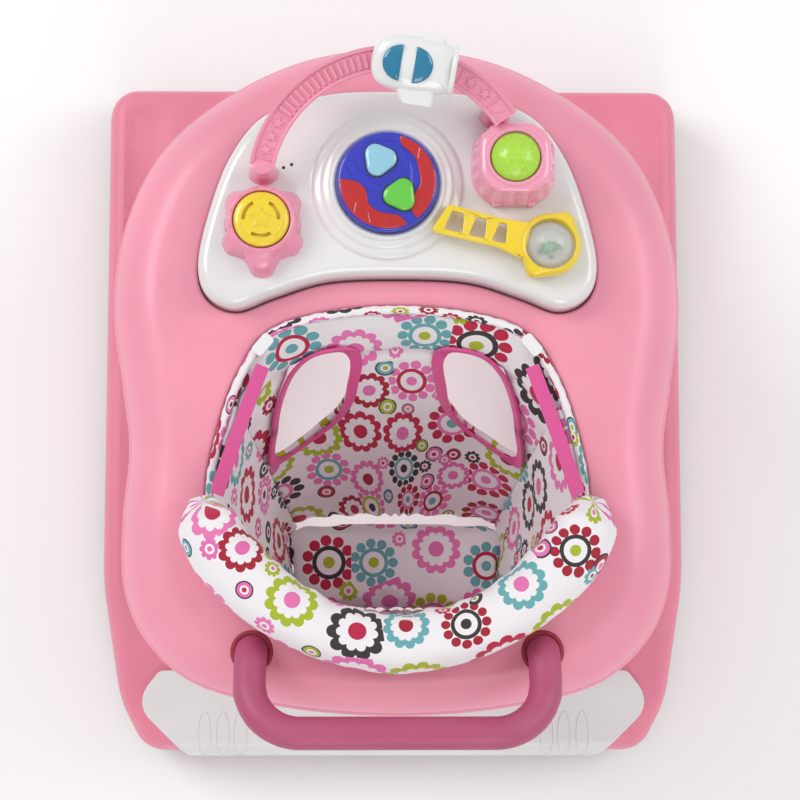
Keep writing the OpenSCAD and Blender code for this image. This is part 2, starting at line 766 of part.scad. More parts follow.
// Layers of the rounded body: share of the outline, lowest and highest point
plane_layers = [[0.8, plane_z0, plane_z0 + 3], [0.93, plane_z0 + 3, plane_z0 + 7],
    [1, plane_z0 + 7, plane_z1 - 7], [0.94, plane_z1 - 7, plane_z1 - 4], [0.84, plane_z1 - 4, plane_z1 - 2],
    [0.7, plane_z1 - 2, plane_z1]];
fin = [[-9, 15], [9, 15], [15, 31], [3, 31]];        // tail fin, seen from above
wing = [[-14, -12], [10, -12], [13, -32], [-3, -32]];

module plane_body() {
    color("#f4f4f4") at_plane() difference() {
        union() {
            for (s = plane_layers) prism(scaled(plane_outline, [s[0], s[0]]), s[1], s[2]);
            prism(fin, 5, 11);
            prism(wing, 5, 11);
        }
        block(-plane_l, plane_l, -arch_w / 2 - bulge - gap, arch_w / 2 + gap,
            -arch_t / 2 - gap, arch_t / 2 + gap);
        translate([0, 0, arch_t / 2 + 12]) window_pair(0);
    }
}

module window_pair(d) {
    linear_extrude(8) for (s = [-1, 1]) translate([s * 11 - 4, 0])
        polygon(ellipse(17 - 2 * d, 22 - 2 * d));
}

module plane_windows() {
    color("#0d79a4") at_plane() translate([0, 0, arch_t / 2 + 12.05]) intersection() {
        window_pair(0.2);
        translate([-30, -30, 0]) cube([60, 60, 3.4]);
    }
}

// ---- spinner ----
housing_h = 21;
lobe_turns = [38, 142, 218, 270, 322];

module spinner_housing() {
    color("#ef9ab3") at_xy(spinner_c) difference() {
        union() {
            translate([0, 0, toy_z]) cylinder(r = spinner_r + 7, h = housing_h);
            for (a = lobe_turns) rotate(a)
                translate([spinner_r + 9, 0, toy_z]) cylinder(r = 9, h = housing_h - 5);
            translate([0, -spinner_r - 14, toy_z]) cylinder(r = 12, h = housing_h - 9);
        }
        translate([0, 0, toy_z + housing_h - 5]) cylinder(r = spinner_r + 1, h = 10);
        translate([0, 0, toy_z + 4]) cylinder(r = 4 + slip, h = 40);
    }
}

module spinner_disc() {
    color("#f3d81f") at_xy(spinner_c) {
        difference() {
            translate([0, 0, toy_z + housing_h - 4]) cylinder(r = spinner_r, h = 8);
            for (a = [30, 150, 270]) rotate(a - 35) translate([0, 0, toy_z + housing_h - 6])
                rotate_extrude(angle = 70) translate([spinner_r * 0.62, 0]) square([3.5, 14]);
        }
        translate([0, 0, toy_z + 5]) cylinder(r = 4, h = housing_h - 5);
    }
}

// ---- light box ----
box_h = 36;
dome_travel = 4;

// Rounded block whose sides follow the steps: inset and height above the toy tray
module box_body(steps) {
    loft([for (s = steps) [inset(rectangle(box_w, box_w, 15), s[0]), toy_z + s[1]]]);
}

module light_box() {
    color("#f29ab4") at_xy(box_c) {
        difference() {
            box_body([[-5, 0], [-5, 5], [-3, 12], [0, 26], [1, box_h - 4], [5, box_h]]);
            box_body([[-2, -0.1], [-2, 5], [0, 12], [3, 26], [4, box_h - 3]]);
            translate([0, 0, toy_z + box_h - 10]) cylinder(r = dome_r + gap, h = 20);
        }
        translate([0, 0, toy_z]) difference() {
            cylinder(r = dome_r - 5, h = box_h - 12 - dome_travel);
            translate([0, 0, 3]) cylinder(r = dome_r - 8, h = box_h);
        }
    }
}

// Rows of bumps on the dome: count and distance from the middle
bumps = [[1, 0], [6, 6.5], [11, 12.5], [16, 17.5]];

// Height of the dome at the distance d from its middle
function dome_at(d) = sqrt(dome_ball * dome_ball - d * d) - dome_ball + dome_high;
dome_high = 11;
dome_ball = (dome_r * dome_r + dome_high * dome_high) / (2 * dome_high);

module dome_button() {
    z0 = toy_z + box_h - 9;
    color("#a9dc3c") at_xy(box_c) {
        translate([0, 0, z0]) {
            difference() {
                cylinder(r = dome_r, h = 9);
                translate([0, 0, -1]) cylinder(r = dome_r - 2.5, h = 7);
            }
            translate([0, 0, -1]) cylinder(r = dome_r - 8.5, h = 8);
            translate([0, 0, 9]) intersection() {
                translate([0, 0, dome_high - dome_ball]) sphere(r = dome_ball);
                cylinder(r = dome_r, h = dome_high + 1);
            }
        }
        for (row = bumps, i = [0 : row[0] - 1]) rotate(360 * i / row[0])
            translate([row[1], 0, z0 + 9 + dome_at(row[1])]) sphere(r = 1.6, $fn = 16);
    }
}

// ---- rattle ----
bar_turn = atan2(ball_c.y - bar_c.y, ball_c.x - bar_c.x);
bar_t = 8;
stub_r = 2.5;

module at_bar() {
    at_xy(bar_c) rotate(bar_turn) children();
}

module rattle_frame() {
    z0 = toy_z + 9;
    color("#f5dd2a") {
        difference() {
            union() {
                at_xy(ball_c) translate([0, 0, z0 - 5]) cylinder(r = ball_r + 6, h = bar_t + 7);
                at_bar() prism([[-36, -13], [42, -16], [42, 16], [-36, 14]], z0, z0 + bar_t);
                for (a = [62, 242]) at_xy(ball_c) rotate(a)
                    translate([ball_r + 4, 0, toy_z]) cylinder(r = 7, h = 17);
                at_bar() for (x = [-16, 31]) translate([x, 0, toy_z]) cylinder(r = 4, h = 10);
            }
            at_xy(ball_c) translate([0, 0, toy_z - 1]) cylinder(r = ball_r + 1.5, h = 40);
            at_bar() for (x = [-24, -6, 12]) block(x, x + 9, -8, 9, z0 - 1, z0 + bar_t + 1);
            at_xy(ball_c) translate([0, 0, ball_z]) rotate(bar_turn)
                bar_x(stub_r + slip, -ball_r - 4, ball_r + 4, 0, 0);
        }
    }
}

module rattle_ball() {
    color("#dfeef2", 0.4) at_xy(ball_c) translate([0, 0, ball_z]) {
        difference() {
            sphere(r = ball_r);
            sphere(r = ball_r - 1.5);
        }
        for (s = [0, 180]) rotate(bar_turn + s) bar_x(stub_r, ball_r - 1, ball_r + 3.5, 0, 0);
    }
}

module rattle_beads() {
    color("#3aa64a") at_xy(ball_c) translate([0, 0, ball_z - ball_r + 1.6]) for (i = [0 : 6])
        rotate(i * 51) translate([i == 0 ? 0 : 7.5, 0, i == 0 ? 3.2 : 5.2]) sphere(r = 3, $fn = 32);
}

// ---- seat ----
rim_outline = inset(hole_outline, 3);
pan_outline = smooth([[-96, -211], [0, -219], [96, -211], [108, -166], [99, -125], [0, -117], [-99, -125],
    [-108, -166]], 3);
seat_points = 60;
seat_top = deck_z + 2;
// Middle of the right leg hole on the sloping front panel, and the panel's slope
leg_hole_c = [80, -4 + tray_dy, deck_z - 76];
panel_slope = 52;

// Closed curve resampled to k points spaced evenly round its middle
function around(p, c, k) = [for (i = [0 : k - 1]) let (a = 360 * i / k) c + ray_hit(p, c, [cos(a), sin(a)])];

// Where the ray from c along u meets the outline, as an offset from c
function ray_hit(p, c, u) = let (n = len(p), v = [-u.y, u.x], hits = [
    for (i = [0 : n - 1])
        let (a = p[i] - c, b = p[(i + 1) % n] - c, sa = a * v, sb = b * v)
        if ((sa <= 0 && sb > 0) || (sa > 0 && sb <= 0))
            let (q = a + (b - a) * sa / (sa - sb)) if (q * u > 0) q]) hits[0];

seat_mid = [0, -90 + tray_dy];
pan_mid = [0, -168 + tray_dy];
rim_ring = around(rim_outline, seat_mid, seat_points);
pan_ring = around(moved(pan_outline, [0, tray_dy]), pan_mid, seat_points);

module bucket() {
    difference() {
        loft([[pan_ring, pan_z], [rim_ring, seat_top]]);
        loft([[inset(pan_ring, cloth_t), pan_z + cloth_t], [inset(rim_ring, cloth_t), seat_top + 1]]);
        pair() translate(leg_hole_c) rotate([panel_slope, 0, 0])
            translate([0, 0, -60]) linear_extrude(120) polygon(ellipse(leg_hole_w, leg_hole_h));
    }
}

// Plan of the front panel, as far as the seams with the side panels
module front_region(d) {
    prism([[-112 + d, 90], [-107 + d, -117 + tray_dy + d], [107 - d, -117 + tray_dy + d], [112 - d, 90]],
        pan_z + cloth_t + 1 + d, seat_top + 5);
}

module back_region(d) {
    prism([[-150, -260], [150, -260], [150, -152 + tray_dy - d], [-150, -152 + tray_dy - d]],
        pan_z + cloth_t + 1 + d, seat_top + 5);
}

module pan_region() {
    prism(rectangle(400, 600, 10), pan_z - 5, pan_z + cloth_t + 1 - seam);
}

module seat_front() {
    color("#f4e6ea") intersection() {
        bucket();
        front_region(seam);
    }
}

module seat_base() {
    color("#f4e6ea") intersection() {
        bucket();
        pan_region();
    }
}

// The padded roll lies on the tray's rear deck and leans in over the opening
roll_outer = [[188, -119], [186, -146], [168, -184], [131, -218], [92, -241], [51, -256], [0, -265]];
roll_inner = [[0, -213], [40, -206], [79, -187], [116, -153], [146, -112]];
roll_half = concat([for (i = [len(roll_outer) - 1 : -1 : 0]) roll_outer[i]],
    [for (i = [len(roll_inner) - 1 : -1 : 0]) roll_inner[i]]);
roll_outline = moved(smooth(both_sides(roll_half), 2), [0, tray_dy]);

module seat_back() {
    color("#f4e6ea") intersection() {
        bucket();
        back_region(seam);
    }
}

// Roll in steps: inset, height of the step's foot above the deck cloth, and its height
roll_steps = [[8, 0, 6], [3, 6, 10], [0, 16, 24], [3, 40, 8], [8, 48, 6], [12, 54, 4]];

module seat_rim() {
    color("#f4e6ea") for (s = roll_steps)
        prism(inset(roll_outline, s[0]), seat_top + seam + s[1], seat_top + seam + s[1] + s[2]);
}

module seat_sides() {
    color("#f4e6ea") difference() {
        bucket();
        front_region(0);
        back_region(0);
        prism(rectangle(400, 600, 10), pan_z - 6, pan_z + cloth_t + 1);
    }
}

clip_c = [118, 22 + tray_dy];

module seat_clips() {
    color("#fafafa") pair() at_xy(clip_c) rotate(-50)
        prism(rectangle(20, 11, 3), seat_top + 0.2, seat_top + 7.2);
}

// ---- drawing ----
base_shell();
rear_bumper();
stopper_pads();
base_rails();
base_screws();
caster_fork(0);  // caster_fork_1
caster_fork(1);  // caster_fork_2
caster_fork(2);  // caster_fork_3
caster_fork(3);  // caster_fork_4
caster_fork(4);  // caster_fork_5
caster_fork(5);  // caster_fork_6
caster_wheel(0);  // caster_wheel_1
caster_wheel(1);  // caster_wheel_2
caster_wheel(2);  // caster_wheel_3
caster_wheel(3);  // caster_wheel_4
caster_wheel(4);  // caster_wheel_5
caster_wheel(5);  // caster_wheel_6
caster_axle(0);  // caster_axle_1
caster_axle(1);  // caster_axle_2
caster_axle(2);  // caster_axle_3
caster_axle(3);  // caster_axle_4
caster_axle(4);  // caster_axle_5
caster_axle(5);  // caster_axle_6
outer_frame();
outer_frame_pins();
inner_frame();
inner_frame_pins();
cross_rivets();
tray_rails();
height_latch();
upper_tray();
handle_stems();
handle_upper();
handle_lower();
toy_tray();
toy_tray_base();
battery_door();
batteries();
circuit_board();
speaker();
steering_wheel();
wheel_lenses();
blue_button();
green_button();
slide_arch();
plane_body();
plane_windows();
spinner_housing();
spinner_disc();
light_box();
dome_button();
rattle_frame();
rattle_ball();
rattle_beads();
seat_front();
seat_base();
seat_back();
seat_rim();
seat_sides();
seat_clips();
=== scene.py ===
"""Looks of a baby walker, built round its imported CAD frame.

Sizes are in millimetres, in the walker's own frame: +Z up, +Y forward, origin on the floor
below the middle of the base. Meshes are turned into metres when a piece is made.
"""

from __future__ import annotations

import logging
import math
from dataclasses import dataclass, field
from enum import Enum
from typing import Callable, Iterable, Sequence

import bmesh
import bpy
import numpy as np
from mathutils import Matrix, Vector, noise
from mathutils.bvhtree import BVHTree
from mathutils.geometry import delaunay_2d_cdt

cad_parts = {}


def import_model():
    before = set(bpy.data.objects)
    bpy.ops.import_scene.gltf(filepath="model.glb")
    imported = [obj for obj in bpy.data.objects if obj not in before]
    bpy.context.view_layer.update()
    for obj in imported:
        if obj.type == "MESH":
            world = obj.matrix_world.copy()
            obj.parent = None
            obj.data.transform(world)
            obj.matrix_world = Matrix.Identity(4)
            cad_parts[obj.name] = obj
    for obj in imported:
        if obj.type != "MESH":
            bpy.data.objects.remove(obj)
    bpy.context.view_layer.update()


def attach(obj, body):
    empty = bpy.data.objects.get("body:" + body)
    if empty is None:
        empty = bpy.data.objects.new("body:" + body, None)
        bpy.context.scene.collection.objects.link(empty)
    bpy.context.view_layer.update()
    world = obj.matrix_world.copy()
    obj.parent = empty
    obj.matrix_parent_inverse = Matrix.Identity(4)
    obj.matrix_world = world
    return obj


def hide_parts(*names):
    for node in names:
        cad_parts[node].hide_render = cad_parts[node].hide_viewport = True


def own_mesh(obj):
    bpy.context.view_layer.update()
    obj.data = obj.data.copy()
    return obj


Point2 = tuple[float, float]
Colour = tuple[float, float, float]
Loop = list[int]
Height = Callable[[float, float], float]

MM = 0.001
LOG = logging.getLogger("walker")


# ---- outlines ----
CLOTH_MAP = "cloth"


def smooth(points: Sequence[Sequence[float]], steps: int) -> np.ndarray:
    """Smooth closed curve through points.

    Args:
        points: Corners that the curve runs through.
        steps: Number of steps from each corner to the next.

    Returns:
        The curve's points, one row each.
    """
    b = np.array(points, float)
    a, c, d = np.roll(b, 1, 0), np.roll(b, -1, 0), np.roll(b, -2, 0)
    out = []
    for s in range(steps):
        t = s / steps
        out.append(
            b + (c - a) * t / 2 + (a * 2 - b * 5 + c * 4 - d) * t * t / 2
            + (b * 3 - a - c * 3 + d) * t**3 / 2
        )
    return np.stack(out, 1).reshape(-1, b.shape[1])


def open_curve(points: Sequence[Sequence[float]], steps: int) -> np.ndarray:
    """Smooth open curve through points, ends included.

    Args:
        points: Places that the curve runs through.
        steps: Number of steps between neighbouring places.

    Returns:
        The curve's points, one row each.
    """
    p = np.array(points, float)
    closed = smooth(np.vstack([2 * p[0] - p[1], p, 2 * p[-1] - p[-2]]), steps)
    return closed[steps : steps * len(p) + 1]


def both_sides(half: Sequence[Point2], dy: float = 0.0) -> np.ndarray:
    """Right half of an outline completed on the left and moved forward by dy."""
    mirrored = [(-x, y) for x, y in reversed(half[1:-1])]
    return np.array(list(half) + mirrored, float) + (0, dy)


def inset(outline: np.ndarray, d: float) -> np.ndarray:
    """The closed outline moved inwards by d, or outwards where d is below zero.

    Args:
        outline: Closed outline as (x, y) points.
        d: Distance in millimetres.

    Returns:
        The moved outline.
    """
    step = np.roll(outline, -1, 0) - outline
    length = np.linalg.norm(step, axis=1, keepdims=True)
    normal = np.stack([step[:, 1], -step[:, 0]], 1) / length
    m = normal + np.roll(normal, 1, 0)
    return outline - m * 2 * d / (m * m).sum(1, keepdims=True)


def rounded(corners: Sequence[tuple[float, float, float]], steps: int = 10) -> np.ndarray:
    """Polygon with rounded corners.

    Args:
        corners: Each corner as x, y and its radius, anticlockwise.
        steps: Number of steps round each corner.

    Returns:
        The outline's points.
    """
    out, n = [], len(corners)
    for i, (x, y, r) in enumerate(corners):
        p = np.array([x, y])
        u = np.array(corners[i - 1][:2]) - p
        v = np.array(corners[(i + 1) % n][:2]) - p
        u, v = u / np.linalg.norm(u), v / np.linalg.norm(v)
        half = math.acos(max(-1.0, min(1.0, float(u @ v)))) / 2
        middle = (u + v) / np.linalg.norm(u + v)
        centre = p + middle * r / math.sin(half)
        start = p + u * r / math.tan(half) - centre
        side = -1 if u[0] * v[1] - u[1] * v[0] > 0 else 1
        for s in range(steps + 1):
            t = (math.pi - 2 * half) * s / steps
            out.append(
                centre
                + (
                    start[0] * math.cos(t) - start[1] * math.sin(t) * side,
                    start[0] * math.sin(t) * side + start[1] * math.cos(t),
                )
            )
    return np.array(out)


def rectangle(w: float, h: float, r: float, steps: int = 8) -> np.ndarray:
    """Rounded rectangle round the origin."""
    return rounded(
        [(w / 2, -h / 2, r), (w / 2, h / 2, r), (-w / 2, h / 2, r), (-w / 2, -h / 2, r)], steps
    )


def ellipse(w: float, h: float, count: int = 48, centre: Point2 = (0, 0)) -> np.ndarray:
    """Ellipse of that width and height."""
    t = np.linspace(0, 2 * math.pi, count, endpoint=False)
    return np.stack([w / 2 * np.cos(t), h / 2 * np.sin(t)], 1) + centre


def even(outline: np.ndarray, count: int) -> np.ndarray:
    """The closed outline resampled to count evenly spaced points.

    Args:
        outline: Closed outline as (x, y) points.
        count: Number of points.

    Returns:
        The resampled outline.
    """
    closed = np.vstack([outline, outline[:1]])
    along = np.concatenate([[0], np.cumsum(np.linalg.norm(np.diff(closed, axis=0), axis=1))])
    at = np.linspace(0, along[-1], count, endpoint=False)
    return np.stack([np.interp(at, along, closed[:, k]) for k in range(closed.shape[1])], 1)


def turned(outline: np.ndarray, degrees: float, to: Point2 = (0, 0)) -> np.ndarray:
    """The outline turned about the origin, then moved to a place."""
    a = math.radians(degrees)
    return outline @ np.array([[math.cos(a), math.sin(a)], [-math.sin(a), math.cos(a)]]) + to


def apart(degrees: np.ndarray, turn: float) -> np.ndarray:
    """Signed distance of each angle from the angle turn, from -180 to 180 degrees."""
    return (degrees - turn + 180) % 360 - 180


def star(outer: float, inner: float, points: int = 5, turn: float = 90.0) -> np.ndarray:
    """Outline of a star with its first point at the angle turn.

    Args:
        outer: Radius of the tips.
        inner: Radius of the notches.
        points: Number of tips.
        turn: Angle of the first tip in degrees.

    Returns:
        The closed outline.
    """
    a = np.radians(turn) + np.arange(points * 2) * math.pi / points
    r = np.where(np.arange(points * 2) % 2 == 0, outer, inner)
    return np.stack([r * np.cos(a), r * np.sin(a)], 1)


def inside(points: np.ndarray, outline: np.ndarray) -> np.ndarray:
    """Mask of the points that lie inside the outline.

    Args:
        points: Points as (x, y).
        outline: Closed outline as (x, y) points.

    Returns:
        True for each point inside.
    """
    x, y = points[:, 0][:, None], points[:, 1][:, None]
    x0, y0 = outline[:, 0], outline[:, 1]
    x1, y1 = np.roll(x0, -1), np.roll(y0, -1)
    crosses = ((y0 > y) != (y1 > y)) & (x < (x1 - x0) * (y - y0) / (y1 - y0 + 1e-12) + x0)
    return crosses.sum(1) % 2 == 1


def edge_distance(points: np.ndarray, outline: np.ndarray) -> np.ndarray:
    """Distance of each point from the closed outline.

    Args:
        points: Points as (x, y).
        outline: Closed outline as (x, y) points.

    Returns:
        The distances in millimetres.
    """
    a, b = outline, np.roll(outline, -1, 0)
    best = np.full(len(points), 1e9)
    for p, q in zip(a, b):
        d = q - p
        t = np.clip(((points - p) @ d) / (d @ d + 1e-12), 0, 1)
        best = np.minimum(best, np.linalg.norm(points - p - t[:, None] * d, axis=1))
    return best


def soft_step(x: float, low: float, high: float) -> float:
    """Smooth rise from 0 at low to 1 at high."""
    t = max(0.0, min(1.0, (x - low) / (high - low)))
    return t * t * (3 - 2 * t)


# ---- meshes ----
class Shape:
    """Vertices in millimetres and faces gathered for one piece."""

    def __init__(self) -> None:
        """Starts with nothing in it."""
        self.verts: list[tuple[float, float, float]] = []
        self.faces: list[tuple[int, ...]] = []

    def ring(self, outline: Iterable[Sequence[float]], z: float | None = None) -> Loop:
        """Adds a loop of vertices.

        Args:
            outline: The loop's points, with their height or without.
            z: Height of points that come without one.

        Returns:
            The loop's vertex numbers.
        """
        start = len(self.verts)
        for p in outline:
            self.verts.append((float(p[0]), float(p[1]), float(p[2] if z is None else z)))
        return list(range(start, len(self.verts)))

    def bridge(self, a: Loop, b: Loop, closed: bool = True) -> None:
        """Joins two loops of equal length with quads."""
        n = len(a)
        for i in range(n if closed else n - 1):
            j = (i + 1) % n
            self.faces.append((a[i], a[j], b[j], b[i]))

    def cap(self, loop: Loop) -> None:
        """Closes a loop with one face."""
        self.faces.append(tuple(loop))

    def loft(
        self, rings: Sequence[tuple[np.ndarray, float]], start: bool = True, end: bool = True
    ) -> list[Loop]:
        """Joins rings into a skin.

        Args:
            rings: Outlines with their heights, from the first to the last.
            start: Whether the first ring is closed.
            end: Whether the last ring is closed.

        Returns:
            The rings' loops.
        """
        loops = [self.ring(o, z) for o, z in rings]
        for a, b in zip(loops, loops[1:]):
            self.bridge(a, b)
        if start:
            self.cap(loops[0][::-1])
        if end:
            self.cap(loops[-1])
        return loops

    def plate(
        self, outer: Loop, holes: Sequence[Loop], spacing: float, height: Height | None = None
    ) -> None:
        """Fills the region between loops with a fine net of triangles.

        Args:
            outer: Loop round the region.
            holes: Loops that stay open.
            spacing: Distance between the points added inside.
            height: Height of an added point at x and y; the outer loop's height if left out.
        """
        outer_xy = np.array([self.verts[i][:2] for i in outer])
        hole_xy = [np.array([self.verts[i][:2] for i in h]) for h in holes]
        level = self.verts[outer[0]][2]
        low, high = outer_xy.min(0), outer_xy.max(0)
        xs = np.arange(low[0], high[0], spacing)
        ys = np.arange(low[1], high[1], spacing * 0.87)
        net = np.array([(x + (k % 2) * spacing / 2, y) for k, y in enumerate(ys) for x in xs])
        keep = inside(net, outer_xy)
        for h in hole_xy:
            keep &= ~inside(net, h)
        net = net[keep]
        for o in [outer_xy, *hole_xy]:
            net = net[edge_distance(net, o) > spacing * 0.45]
        known = list(outer) + [i for h in holes for i in h]
        start = len(self.verts)
        for x, y in net:
            self.verts.append((float(x), float(y), height(x, y) if height else level))
        index = known + list(range(start, len(self.verts)))
        edges, at = [], 0
        for loop in [outer, *holes]:
            n = len(loop)
            edges += [(at + i, at + (i + 1) % n) for i in range(n)]
            at += n
        coords = [Vector(self.verts[i][:2]) for i in index]
        out, _, faces, origin, _, _ = delaunay_2d_cdt(coords, edges, [], 1, 1e-5)
        centres = np.array([[sum(out[i][k] for i in f) / len(f) for k in (0, 1)] for f in faces])
        good = inside(centres, outer_xy)
        for h in hole_xy:
            good &= ~inside(centres, h)
        back = [index[o[0]] if o else None for o in origin]
        for f, ok in zip(faces, good):
            if ok and all(back[i] is not None for i in f):
                self.faces.append(tuple(back[i] for i in f))

    def lathe(
        self, profile: Sequence[Point2], centre: Sequence[float] = (0, 0, 0), steps: int = 64
    ) -> None:
        """Turns a profile of radius and height round the vertical through centre."""
        rings = [
            (ellipse(2 * max(r, 0.001), 2 * max(r, 0.001), steps, (centre[0], centre[1])), z + centre[2])
            for r, z in profile
        ]
        self.loft(rings, start=profile[0][0] < 0.01, end=profile[-1][0] < 0.01)

    def tube(
        self,
        path: np.ndarray,
        section: Callable[[float, int], np.ndarray],
        up: Sequence[float] = (0, 0, 1),
        closed: bool = False,
        carry: bool = True,
    ) -> None:
        """Sweeps a section along a path.

        Args:
            path: Points of the centre line.
            section: Gives the section's outline (across, up) at a share of the way and a step.
            up: Direction of the section's second axis at the start.
            closed: Whether the path runs back into its start.
            carry: Whether that direction is carried along the path, or held to up.
        """
        n, rise, loops = len(path), Vector(up), []
        for i, p in enumerate(path):
            before = path[i - 1] if (i or closed) else p
            after = path[(i + 1) % n] if (i < n - 1 or closed) else p
            along = Vector(after - before).normalized()
            across = along.cross(rise if carry else Vector(up)).normalized()
            rise = across.cross(along)
            out = section(i / max(1, n - 1), i)
            loops.append(self.ring([Vector(p) + across * q[0] + rise * q[1] for q in out]))
        for a, b in zip(loops, loops[1:]):
            self.bridge(a, b)
        if closed:
            self.bridge(loops[-1], loops[0])
        else:
            self.cap(loops[0][::-1])
            self.cap(loops[-1])

    def build(self, name: str, place: Matrix | None = None) -> bpy.types.Object:
        """Makes the object.

        Args:
            name: Name of the piece.
            place: Turn and move, in millimetres, applied to the vertices.

        Returns:
            The new object, with its mesh in metres and its faces turned outwards.
        """
        points = [Vector(v) for v in self.verts]
        if place is not None:
            points = [place @ p for p in points]
        mesh = bpy.data.meshes.new(name)
        mesh.from_pydata([p * MM for p in points], [], self.faces)
        bm = bmesh.new()
        bm.from_mesh(mesh)
        bmesh.ops.remove_doubles(bm, verts=bm.verts, dist=2e-6)
        bmesh.ops.recalc_face_normals(bm, faces=bm.faces)
        bm.to_mesh(mesh)
        bm.free()
        obj = bpy.data.objects.new(name, mesh)
        bpy.context.scene.collection.objects.link(obj)
        return obj


def settle(obj: bpy.types.Object) -> bpy.types.Object:
    """Applies the object's modifiers to its mesh.

    Args:
        obj: Object to change.

    Returns:
        The same object.
    """
    graph = bpy.context.evaluated_depsgraph_get()
    mesh = bpy.data.meshes.new_from_object(obj.evaluated_get(graph))
    obj.modifiers.clear()
    obj.data = mesh
    return obj


def thicken(obj: bpy.types.Object, wall: float) -> bpy.types.Object:
    """Gives an open skin a wall of that thickness, inwards.

    Args:
        obj: Object to change.
        wall: Thickness in millimetres.

    Returns:
        The same object.
    """
    m = obj.modifiers.new("Wall", "SOLIDIFY")
    m.thickness, m.offset, m.use_even_offset = wall * MM, -1, False
    return settle(obj)


def soften(obj: bpy.types.Object, width: float, angle: float = 35.0, segments: int = 3) -> bpy.types.Object:
    """Rounds the edges that are sharper than the angle.

    Args:
        obj: Object to change.
        width: Width of the rounding in millimetres.
        angle: Angle in degrees above which an edge counts as sharp.
        segments: Segments across the rounding.

    Returns:
        The same object.
    """
    m = obj.modifiers.new("Edges", "BEVEL")
    m.width, m.segments, m.limit_method = width * MM, segments, "ANGLE"
    m.angle_limit = math.radians(angle)
    m.harden_normals = False
    return settle(obj)


class Cut(Enum):
    """Ways in which one solid changes another."""

    REMOVE = "DIFFERENCE"
    KEEP_COMMON = "INTERSECT"


def combine(obj: bpy.types.Object, other: bpy.types.Object, how: Cut) -> bpy.types.Object:
    """Changes obj by the other solid, which is used up.

    Args:
        obj: Object to change.
        other: Solid that is used up.
        how: Kind of the operation.

    Returns:
        The changed object.
    """
    m = obj.modifiers.new("Cut", "BOOLEAN")
    m.operation, m.object, m.solver = how.value, other, "EXACT"
    settle(obj)
    bpy.data.objects.remove(other)
    return obj


def merged(name: str, parts: Sequence[bpy.types.Object]) -> bpy.types.Object:
    """One object holding the meshes of several.

    Args:
        name: Name of the new object.
        parts: Objects that are used up.

    Returns:
        The new object.
    """
    bm = bmesh.new()
    for p in parts:
        bm.from_mesh(p.data)
    mesh = bpy.data.meshes.new(name)
    bm.to_mesh(mesh)
    bm.free()
    for p in parts:
        bpy.data.objects.remove(p)
    obj = bpy.data.objects.new(name, mesh)
    bpy.context.scene.collection.objects.link(obj)
    return obj


def shade(obj: bpy.types.Object, angle: float = 40.0) -> None:
    """Smooth faces, with edges sharper than the angle kept crisp.

    Args:
        obj: Object to change.
        angle: Angle in degrees above which an edge stays crisp.
    """
    mesh = obj.data
    mesh.polygons.foreach_set("use_smooth", [True] * len(mesh.polygons))
    bm = bmesh.new()
    bm.from_mesh(mesh)
    limit = math.radians(angle)
    for e in bm.edges:
        e.smooth = not (len(e.link_faces) == 2 and e.calc_face_angle(0) > limit)
    bm.to_mesh(mesh)
    bm.free()


